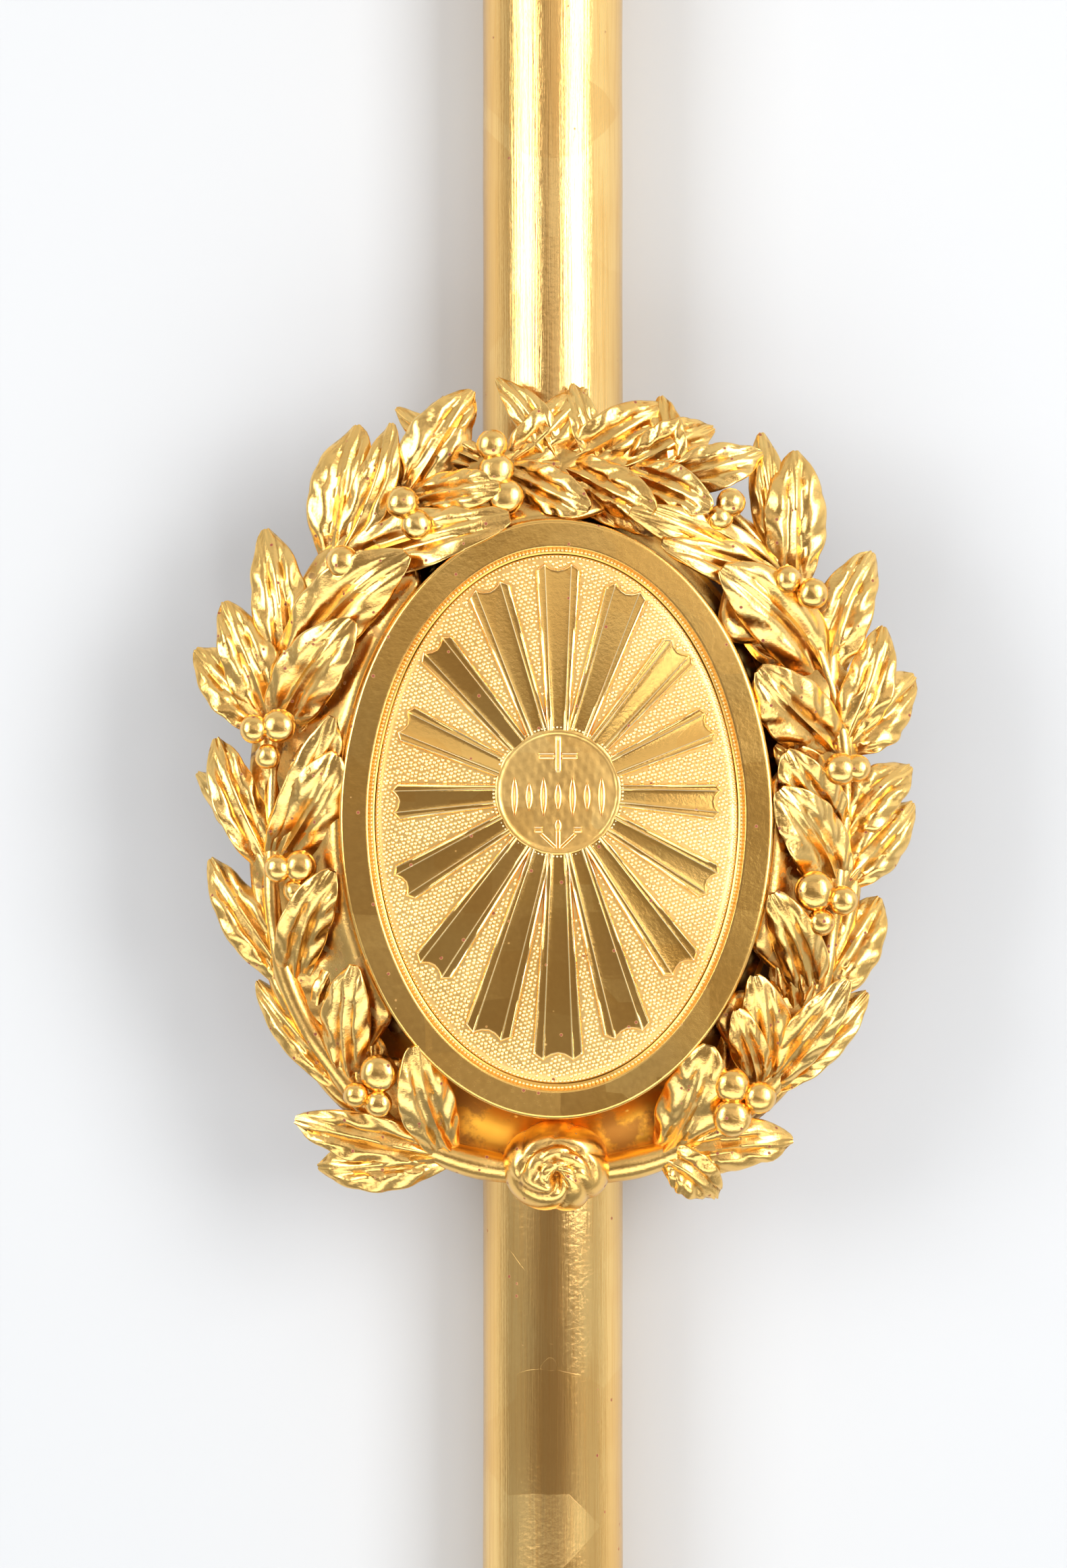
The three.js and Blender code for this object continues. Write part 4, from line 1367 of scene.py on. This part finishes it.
# %% Traits of a leaf
LEAF_TOP = np.array([-1, -0.97, -0.91, -0.8, -0.67, -0.53, -0.4, -0.28, -0.17, -0.08, 0,
                     0.08, 0.17, 0.28, 0.4, 0.53, 0.67, 0.8, 0.91, 0.97, 1])
LEAF_UNDER = np.array([0.9, 0.45, 0, -0.45, -0.9])
PETIOLE = 9
FLUTE_MIDDLE = 0.64
COMMON_WIDTH = 14
LEAF_TRAITS = {
    "flutes": (3.6, 4.8),
    "sweep": (0.24, 0.32),
    "crisp": (0.85, 1.2),
    "cup": (-0.28, 0.05),
    "roll": (-0.25, 0.25),
    "twist": (-0.30, 0.30),
    "bow": (-0.06, 0.06),
    "shift": (0, 1),
}
# The rise in millimetres of each form of the relief, on a leaf of the common width.
RELIEF = {"dome": 1.45, "folds": 0.95, "margin": 0.45, "rib": 1.7, "beside": -1.0, "wave": 0.9}


def column(values):
    """A row of values as a column, for the grid of a leaf."""
    return values[:, None]


# %% The leaf's midrib and width


def leaf_spine(root, tip, grows, arch, u, s, traits):
    """The midrib's points, with the ways across and out of the leaf at each."""
    control = np.array([root - grows * PETIOLE, root - grows + [0, 0, 1.5],
                        (root + tip) / 2 + [0, 0, arch * 1.15], tip])
    weights = np.stack([(1 - u) ** 3, 3 * u * (1 - u) ** 2, 3 * u**2 * (1 - u), u**3], axis=1)
    spine = weights @ control
    along = np.gradient(spine, axis=0)
    along /= column(np.linalg.norm(along, axis=1))
    across = np.cross(along, [0, 0, 1.0])
    across /= column(np.linalg.norm(across, axis=1))
    out = np.cross(across, along)
    turn = column((traits["roll"] + traits["twist"] * s) * smoothstep(0, 0.3, s))
    turned = across * np.cos(turn) + out * np.sin(turn)
    out = out * np.cos(turn) - across * np.sin(turn)
    bow = traits["bow"] * np.linalg.norm(tip - root)
    return spine + turned * column(bow * 4 * s * (1 - s)), turned, out


def leaf_half_width(s, width):
    """Half the width along the leaf: a thin stalk that opens into the blade."""
    blade = 1.04 * np.sin(math.pi * s**0.85) ** 0.6 * width / 2
    stalk = min(1.7, 0.16 * width) * (1 - s)
    return (blade**3 + stalk**3) ** (1 / 3)


# %% The leaf's relief


def leaf_relief(s, half, sideways, flute, unevenness, scale, traits):
    """How far each point of the leaf's top rises over its midrib's line."""
    q, side = np.abs(LEAF_TOP), np.sign(LEAF_TOP)
    open_blade = column(smoothstep(0.02, 0.22, s) * (1 - 0.5 * smoothstep(0.85, 1, s)))
    from_rib = np.abs(sideways)
    dome = np.sin(math.pi * np.clip((q - 0.06) / 0.94, 0, 1)) ** 0.8 * open_blade
    folds = traits["crisp"] * (flute - FLUTE_MIDDLE) * smoothstep(0.10, 0.5, q) * open_blade
    margin = np.exp(-(((q - 0.95) / 0.07) ** 2)) * open_blade
    rib = np.exp(-((sideways / (0.8 * scale + 0.1)) ** 2)) * column(1 - 0.5 * s)
    beside = np.exp(-(((from_rib - 2.0 * scale) / 0.8) ** 2)) * open_blade
    turns = 1.2 * column(s) + traits["shift"] + 0.25 * side
    wave = np.sin(2 * math.pi * turns) * q**2 * open_blade
    forms = {"dome": dome, "folds": folds, "margin": margin, "rib": rib, "beside": beside, "wave": wave}
    raised = sum(RELIEF[name] * scale * form for name, form in forms.items())
    return raised + unevenness * scale * open_blade + traits["cup"] * column(half) * q**2


def leaf_shade(s, sideways, flute, scale):
    """How hollow the leaf's top is: between the folds, beside the rib and at its foot."""
    shade = 0.8 * np.clip(1 - flute * 1.8, 0, 1) * smoothstep(0.08, 0.35, np.abs(LEAF_TOP))
    groove = 0.7 * np.exp(-(((np.abs(sideways) - 2.0 * scale) / 0.6) ** 2))
    foot = 0.6 * column(1 - smoothstep(0, 0.14, s))
    return np.maximum(np.maximum(shade, groove), foot)


# %% A whole leaf


def leaf_form(root, tip, grows, width, arch, seed, rows=36):
    """One carved leaf, as (points, faces, hollow). Its stalk runs back along the stem."""
    draw = np.random.default_rng(seed)
    traits = {name: draw.uniform(low, high) for name, (low, high) in LEAF_TRAITS.items()}
    scale = min(1.15, width / COMMON_WIDTH)
    u = np.linspace(0, 0.985, rows)
    s = 1.5 * u**2 * (1 - u) + u**3
    spine, across, out = leaf_spine(root, tip, grows, arch, u, s, traits)
    half = leaf_half_width(s, width)

    flat = np.zeros((rows, len(LEAF_TOP), 3))
    flat[:, :, 0] = LEAF_TOP * column(half)
    flat[:, :, 1] = column(s * np.linalg.norm(tip - root))
    slow = ripple(flat.reshape(-1, 3), 14, seed + 1).reshape(rows, -1)
    fine = ripple(flat.reshape(-1, 3), 4.5, seed + 2).reshape(rows, -1)
    slant = column(s) - traits["sweep"] * np.abs(LEAF_TOP)
    phase = traits["flutes"] * slant + traits["shift"] + 0.3 * np.sign(LEAF_TOP) + 0.10 * slow
    flute = np.sqrt(np.sin(math.pi * phase) ** 2 + 0.012)

    lobes = 1 + 0.05 * (flute[:, [0, -1]] - FLUTE_MIDDLE) + 0.03 * slow[:, [0, -1]]
    sideways = LEAF_TOP * column(half) * np.where(LEAF_TOP < 0, lobes[:, :1], lobes[:, 1:])
    raised = leaf_relief(s, half, sideways, flute, 0.30 * slow + 0.10 * fine, scale, traits)
    raised = raised * column(np.minimum(1, half / (0.10 * width)))

    q = np.abs(LEAF_UNDER)
    low_sideways = LEAF_UNDER * column(half) * np.where(LEAF_UNDER < 0, lobes[:, :1], lobes[:, 1:])
    thickness = (1.3 + 0.10 * width * (1 - q)) * column(np.minimum(1, half / (0.25 * width)))
    low_raised = traits["cup"] * column(half) * q**2 - thickness

    ring_sideways = np.concatenate([sideways, low_sideways], axis=1)[:, :, None]
    ring_raised = np.concatenate([raised, low_raised], axis=1)[:, :, None]
    rings = spine[:, None] + across[:, None] * ring_sideways + out[:, None] * ring_raised
    # Painted shade: between the folds, beside the rib, at the foot, and on the underside, which is all
    # hollow.
    shade = leaf_shade(s, sideways, flute, scale)
    hollow = np.concatenate([shade, np.ones((rows, len(LEAF_UNDER)))], axis=1)
    points, faces = skin(rings)
    return points, faces, hollow.ravel()


# %% [markdown]
# ## The wreath: sprigs and low leaves
# Outer leaves rise steeply and stand off the stem, inner ones reach over the rim, and low short
# ones fill the band between. The low ones are hardly seen, so they are spread by rule and have
# fewer rows. Instances of one leaf would be lighter, but the eye soon finds the repeats.

# %% Leaves of the branches
INNER_TIP_RISE = 1.2
INNER_ARCH = 7
OUTER_ARCH = 11.2
FILLER_STEP = 9.5
FILLER_ARCH = 4.5
FILLER_ROWS = 24
LEAF_SEED = 1000
FILLER_SEED = 7000
FILLER_DRAW = 40


def leaf_tip(place, along, outwards, lean, length):
    """The tip of a leaf that leans outwards from the way along the stem, in radians."""
    return place + along * length * math.cos(lean) + outwards * length * math.sin(lean)


def sprig_leaves(side, number, degrees, leaves):
    """The leaves of one sprig, placed as in the model."""
    forms = []
    place, along, outwards = stem_at(side, degrees)
    for index, (lean, length_share, width_share) in enumerate(leaves):
        length = LEAF_SIZE * length_share / 100
        width = LEAF_SIZE * width_share / 100
        tip = leaf_tip(place, along, outwards, math.radians(lean), length)
        inner = lean < 0
        tip[2] = RIM_FRONT + INNER_TIP_RISE if inner else STEM_Z + 5 * (index - 1)
        arch = INNER_ARCH if inner else OUTER_ARCH
        grows = along if abs(lean) < 90 else -along * 0.2
        seed = LEAF_SEED + 100 * number + 10 * index + (1 if side > 0 else 0)
        forms.append(leaf_form(place, tip, grows, width, arch, seed))
    return forms


# %% Low leaves between stem and rim


def filler_leaves(branch):
    """Low leaves that fill the band between the stem and the rim."""
    forms = []
    side = branch["side"]
    draw = np.random.default_rng(FILLER_DRAW + side)
    for degrees in np.arange(38, branch["to"] - 14, FILLER_STEP):
        place, along, outwards = stem_at(side, degrees, -3)
        lean = math.radians(-draw.uniform(34, 52))
        tip = leaf_tip(place, along, outwards, lean, draw.uniform(22, 27))
        tip[2] = STEM_Z + draw.uniform(4, 8)
        seed = FILLER_SEED + int(degrees) + (500 if side > 0 else 0)
        width = draw.uniform(11, 14)
        forms.append(leaf_form(place, tip, along, width, FILLER_ARCH, seed, FILLER_ROWS))
    return forms


# %% [markdown]
# ## The wreath: the ground
# Behind the leaves the carver left a fluted ground, broad from the stem in to the rim and cut
# through in a few places where the dark cove shows. A flat plate would close every gap. So each
# ring of this skin is an oval that reaches in to the rim, and draws back where a gap is wanted.

# %% The ground under the leaves
GAPS_BESIDE_RIM = {-1: (45, 147), 1: (43, 61, 102, 120, 143)}
GAP_SPREAD = 3.2
GROUND_CORNERS = 32
GROUND_HEIGHT = 4.1
GROUND_OUT = 7.0
GROUND_OVERLAP = 1.0


def branch_degrees(branch):
    """Angles along a branch, about one for each degree."""
    run = branch["to"] - branch["from"]
    return branch["from"] + run * np.arange(run) / (run - 1)


def ground_form(branch):
    """The carved ground along a branch: fluted, and broad between the stem and the rim."""
    side = branch["side"]
    run = branch["to"] - branch["from"]
    stations = branch_degrees(branch)
    turn = full_turn(GROUND_CORNERS)
    inwards = np.cos(turn)
    upper = smoothstep(0, 0.3, np.sin(turn))
    rings = np.zeros((len(stations), GROUND_CORNERS, 3))
    hollow = np.zeros((len(stations), GROUND_CORNERS))
    for row, degrees in enumerate(stations):
        angle = math.radians(degrees)
        place, _, outwards = stem_at(side, degrees)
        rim = np.array([side * RIM_A * math.sin(angle), -RIM_B * math.cos(angle), STEM_Z])
        closing = 1 - smoothstep(branch["to"] - run / 8, branch["to"], degrees)
        broad = smoothstep(26, 48, degrees) * closing
        height = GROUND_HEIGHT * (0.6 + 0.4 * closing)
        dips = sum(math.exp(-(((degrees - gap) / GAP_SPREAD) ** 2)) for gap in GAPS_BESIDE_RIM[side])
        reach_in = (np.linalg.norm(place - rim) + GROUND_OVERLAP) * (1 - 0.5 * min(dips, 1))
        to_rim = (RIM_FRONT - 7 - STEM_Z) * broad * (1 - min(dips, 1))
        reach = np.where(inwards > 0, reach_in, GROUND_OUT)
        half = height + (reach - height) * broad
        flute = np.abs(np.sin(0.30 * degrees + 2.2 * inwards + 0.6 * math.sin(degrees * 0.21)))
        flute = flute + (0.6 - flute) * smoothstep(0.5, 0.9, inwards)
        rise = 1 + 0.5 * (flute - 0.5) * upper * broad
        rings[row] = place - outwards * (half * inwards)[:, None]
        rings[row, :, 2] += height * np.sin(turn) * rise + to_rim * smoothstep(0.3, 1.0, inwards)
        # The grooves of the fluted ground are marked hollow: painted shade.
        hollow[row] = np.clip((0.35 + 0.5 * (1 - flute)) * broad, 0, 1)
    if side < 0:
        rings = rings[:, ::-1]
        hollow = hollow[:, ::-1]
    points, faces = skin(rings)
    return points, faces, hollow.ravel()


# %% [markdown]
# ## The wreath: stems and collars
# A round stem runs over the ground under the leaves, thick at the knot and thin at its end, and
# wanders a little as a cut twig does. A narrow ring marks where it enters the knot. Both are
# skins over round rings, as a curve with a bevel would be, with a radius for each ring.

# %% Stems and collars
STEM_SIDES = 14
STEM_RADIUS = 4.9
STEM_WANDER = 1.2
STEM_LIFT = 2.6
COLLAR_SIDES = 24
# Each ring of the collar: its angle from the knot, then its radius.
COLLAR = ((7.0, 3.7), (7.3, 4.6), (7.8, 5.0), (8.4, 5.0), (8.9, 4.6), (9.2, 3.7))


def stem_ring(side, degrees, radius, sides, outset=0.0, lift=0.0):
    """A round ring of points about the stem's line."""
    turn = full_turn(sides)
    place, _, outwards = stem_at(side, degrees, outset)
    ring = place + outwards * (radius * np.cos(turn))[:, None]
    ring[:, 2] += radius * np.sin(turn) + lift
    return ring


def stem_form(branch):
    """The branch's own round stem, which runs over the ground under the leaves."""
    side = branch["side"]
    rings = []
    for degrees in branch_degrees(branch):
        wander = STEM_WANDER * math.sin(degrees * 0.13 + side) * smoothstep(20, 50, degrees)
        radius = STEM_RADIUS - 2 * smoothstep(20, 100, degrees)
        radius -= smoothstep(100, branch["to"], degrees)
        radius += 0.2 * math.sin(degrees * 0.5)
        lift = STEM_LIFT * smoothstep(25, 50, degrees)
        rings.append(stem_ring(side, degrees, radius, STEM_SIDES, wander, lift))
    points, faces = skin(np.array(rings))
    return points, faces, np.full(len(points), 0.1)


def collar_form(side):
    """The narrow ring where a stem enters the knot."""
    rings = [stem_ring(side, degrees, radius, COLLAR_SIDES) for degrees, radius in COLLAR]
    points, faces = skin(np.array(rings))
    return points, faces, np.full(len(points), 0.2)


# %% [markdown]
# ## The wreath: berries
# The berries are cut with a knife, so none is quite round, and they sit high in the forks of the
# sprigs where the light catches them. A plain sphere would look machined. Rings of points with a
# ripple give the dents, and their undersides are marked as hollow, so they are painted darker as
# shade.

# %% Berries
BERRY_RISE = 16.5
BERRY_SEED = 500
BERRY_ROWS = 14
BERRY_SIDES = 20


def berry_form(side, degrees, out_share, size_share, seed):
    """A berry, a little out of round."""
    place, _, _ = stem_at(side, degrees, BERRY_SIZE * out_share / 100)
    place[2] += BERRY_RISE
    radius = BERRY_SIZE * size_share / 200
    polar = np.linspace(0.04, math.pi - 0.04, BERRY_ROWS)
    turn = full_turn(BERRY_SIDES)
    rings = np.zeros((BERRY_ROWS, BERRY_SIDES, 3))
    rings[:, :, 0] = np.sin(polar)[:, None] * np.cos(turn)
    rings[:, :, 1] = np.sin(polar)[:, None] * np.sin(turn)
    rings[:, :, 2] = np.cos(polar)[:, None]
    flat = rings.reshape(-1, 3)
    flat *= (1 + 0.03 * ripple(flat, 1.6, seed) + 0.012 * ripple(flat, 0.6, seed + 50))[:, None]
    points, faces = skin(rings * radius + place)
    # The underside is marked hollow: painted shade.
    hollow = smoothstep(-0.1, -0.7, np.repeat(np.cos(polar), BERRY_SIDES)) * 0.9
    return points, faces, hollow


# %% [markdown]
# ## The wreath: the knot
# Below, the two branches are tied in a knot whose folds swirl round a sunken eye. Strands could be
# swept along curves and tied for true, but the carver only cut grooves into a boss. So this is a
# boss as well: a flattened ball, pushed in along spiral lines and at its eye. Its grooves and its
# eye are marked as hollow, so they are painted darker as shade.

# %% The knot
KNOT_ROWS = 60
KNOT_COLUMNS = 120
KNOT_MIDDLE = np.array([0, 2 - (RIM_B + STEM_BELOW_RIM), POLE_FRONT + 10])
KNOT_SIZE = np.array([16.9, 14.3, 12])
EYE_BELOW_MIDDLE = 3.7
FOLD_DEPTH = 0.11
EYE_DEPTH = 0.36


def spiral(turns, tightness, angle, radius):
    """Folds that wind round the eye, from 0 in a groove to 1 on a fold."""
    return np.abs(np.sin(0.5 * (turns * angle + tightness * np.log(radius)))) ** 0.6


def knot_form():
    """The knot: a boss of folds that swirl round a sunken eye low in its middle, painted dark as shade.
    """
    polar = np.linspace(0.03, math.pi - 0.03, KNOT_ROWS)
    turn = full_turn(KNOT_COLUMNS)
    reach = np.sin(polar) ** 0.85
    unit = np.zeros((KNOT_ROWS, KNOT_COLUMNS, 3))
    unit[:, :, 0] = reach[:, None] * np.cos(turn)
    unit[:, :, 1] = reach[:, None] * np.sin(turn)
    unit[:, :, 2] = np.cos(polar)[:, None]
    flat = unit.reshape(-1, 3)
    x = flat[:, 0] * KNOT_SIZE[0]
    y = flat[:, 1] * KNOT_SIZE[1] + EYE_BELOW_MIDDLE
    radius = np.hypot(x, y) + 0.3
    angle = np.arctan2(y, x)
    upper = smoothstep(-0.25, 0.45, y / radius)
    strands = spiral(7, 10, angle, radius)
    lobes = spiral(5, 6, angle, radius)
    lines = np.exp(-(((radius - 7.2) / 0.8) ** 2)) + np.exp(-(((radius - 12.0) / 0.9) ** 2))
    fold = upper * (0.45 + 0.55 * strands - 0.8 * lines) + (1 - upper) * lobes
    front = smoothstep(-0.1, 0.4, flat[:, 2])
    eye = np.exp(-((x / 1.7) ** 2 + ((y + 0.3) / 3.0) ** 2)) * front
    push = 1 + FOLD_DEPTH * (fold - 0.6) * smoothstep(0.5, 3.5, radius) - EYE_DEPTH * eye
    points = flat * KNOT_SIZE * push[:, None] + KNOT_MIDDLE
    points, faces = skin(points.reshape(unit.shape))
    # The grooves and the eye are marked hollow: painted shade.
    return points, faces, np.clip(0.9 * (1 - fold) + eye, 0, 1)


# %% [markdown]
# ## The wreath: joining it
# The wreath was carved from one block, so its forms are joined into one piece. Where they lie
# under their neighbours, shade falls, so each point is compared with the mean height round it
# and the finish paints it darker as shade. Ambient occlusion would find the same hollows at each
# render; here they are worked out once. No leaf may stand higher than the imported model, so the
# highest points are bent down softly.

# %% Hollows between the forms


def cavity(points, cell=1.0, window=4, shallow=1.5, deep=8):
    """How deep each point lies under the mean height round it, from 0 to 1."""
    spot = np.floor((points[:, :2] - points[:, :2].min(axis=0)) / cell).astype(int) + window + 1
    shape = spot.max(axis=0) + window + 2
    top = np.full(shape, -1.0)
    np.maximum.at(top, (spot[:, 0], spot[:, 1]), points[:, 2])
    filled = (top > 0).astype(float)
    total = np.cumsum(np.cumsum(np.maximum(top, 0), axis=0), axis=1)
    count = np.cumsum(np.cumsum(filled, axis=0), axis=1)

    def window_sum(table):
        """The sum over the square window round each point."""
        x, y = spot[:, 0], spot[:, 1]
        return (table[x + window, y + window] - table[x - window - 1, y + window]
                - table[x + window, y - window - 1] + table[x - window - 1, y - window - 1])

    mean_height = window_sum(total) / window_sum(count)
    return smoothstep(shallow, deep, mean_height - points[:, 2])


def held_below(points, limit, margin=5):
    """Bends the highest points softly, so that none passes the limit."""
    start = limit - margin
    over = np.maximum(points[:, 2] - start, 0)
    points[:, 2] = np.where(over > 0, start + margin * (1 - np.exp(-over / margin)), points[:, 2])
    return points


# %% The wreath as one piece
wreath_forms = [knot_form()]
for branch in BRANCHES:
    side = branch["side"]
    wreath_forms += [ground_form(branch), stem_form(branch), collar_form(side)]
    for number, (degrees, leaves) in enumerate(branch["sprigs"]):
        wreath_forms += sprig_leaves(side, number, degrees, leaves)
    wreath_forms += filler_leaves(branch)
    for number, berry in enumerate(branch["berries"]):
        wreath_forms.append(berry_form(side, *berry, seed=BERRY_SEED + number))
print("wreath", len(wreath_forms), "forms")

points, faces, hollow = joined(wreath_forms)
# The hollows under the neighbouring forms become painted shade in the finish.
hollow = np.maximum(hollow, cavity(points))
points = held_below(points, wreath_top)
dressed("laurel_wreath", (points, faces, hollow), carved_gold, "carved_gold", "wreath", sharp=60)
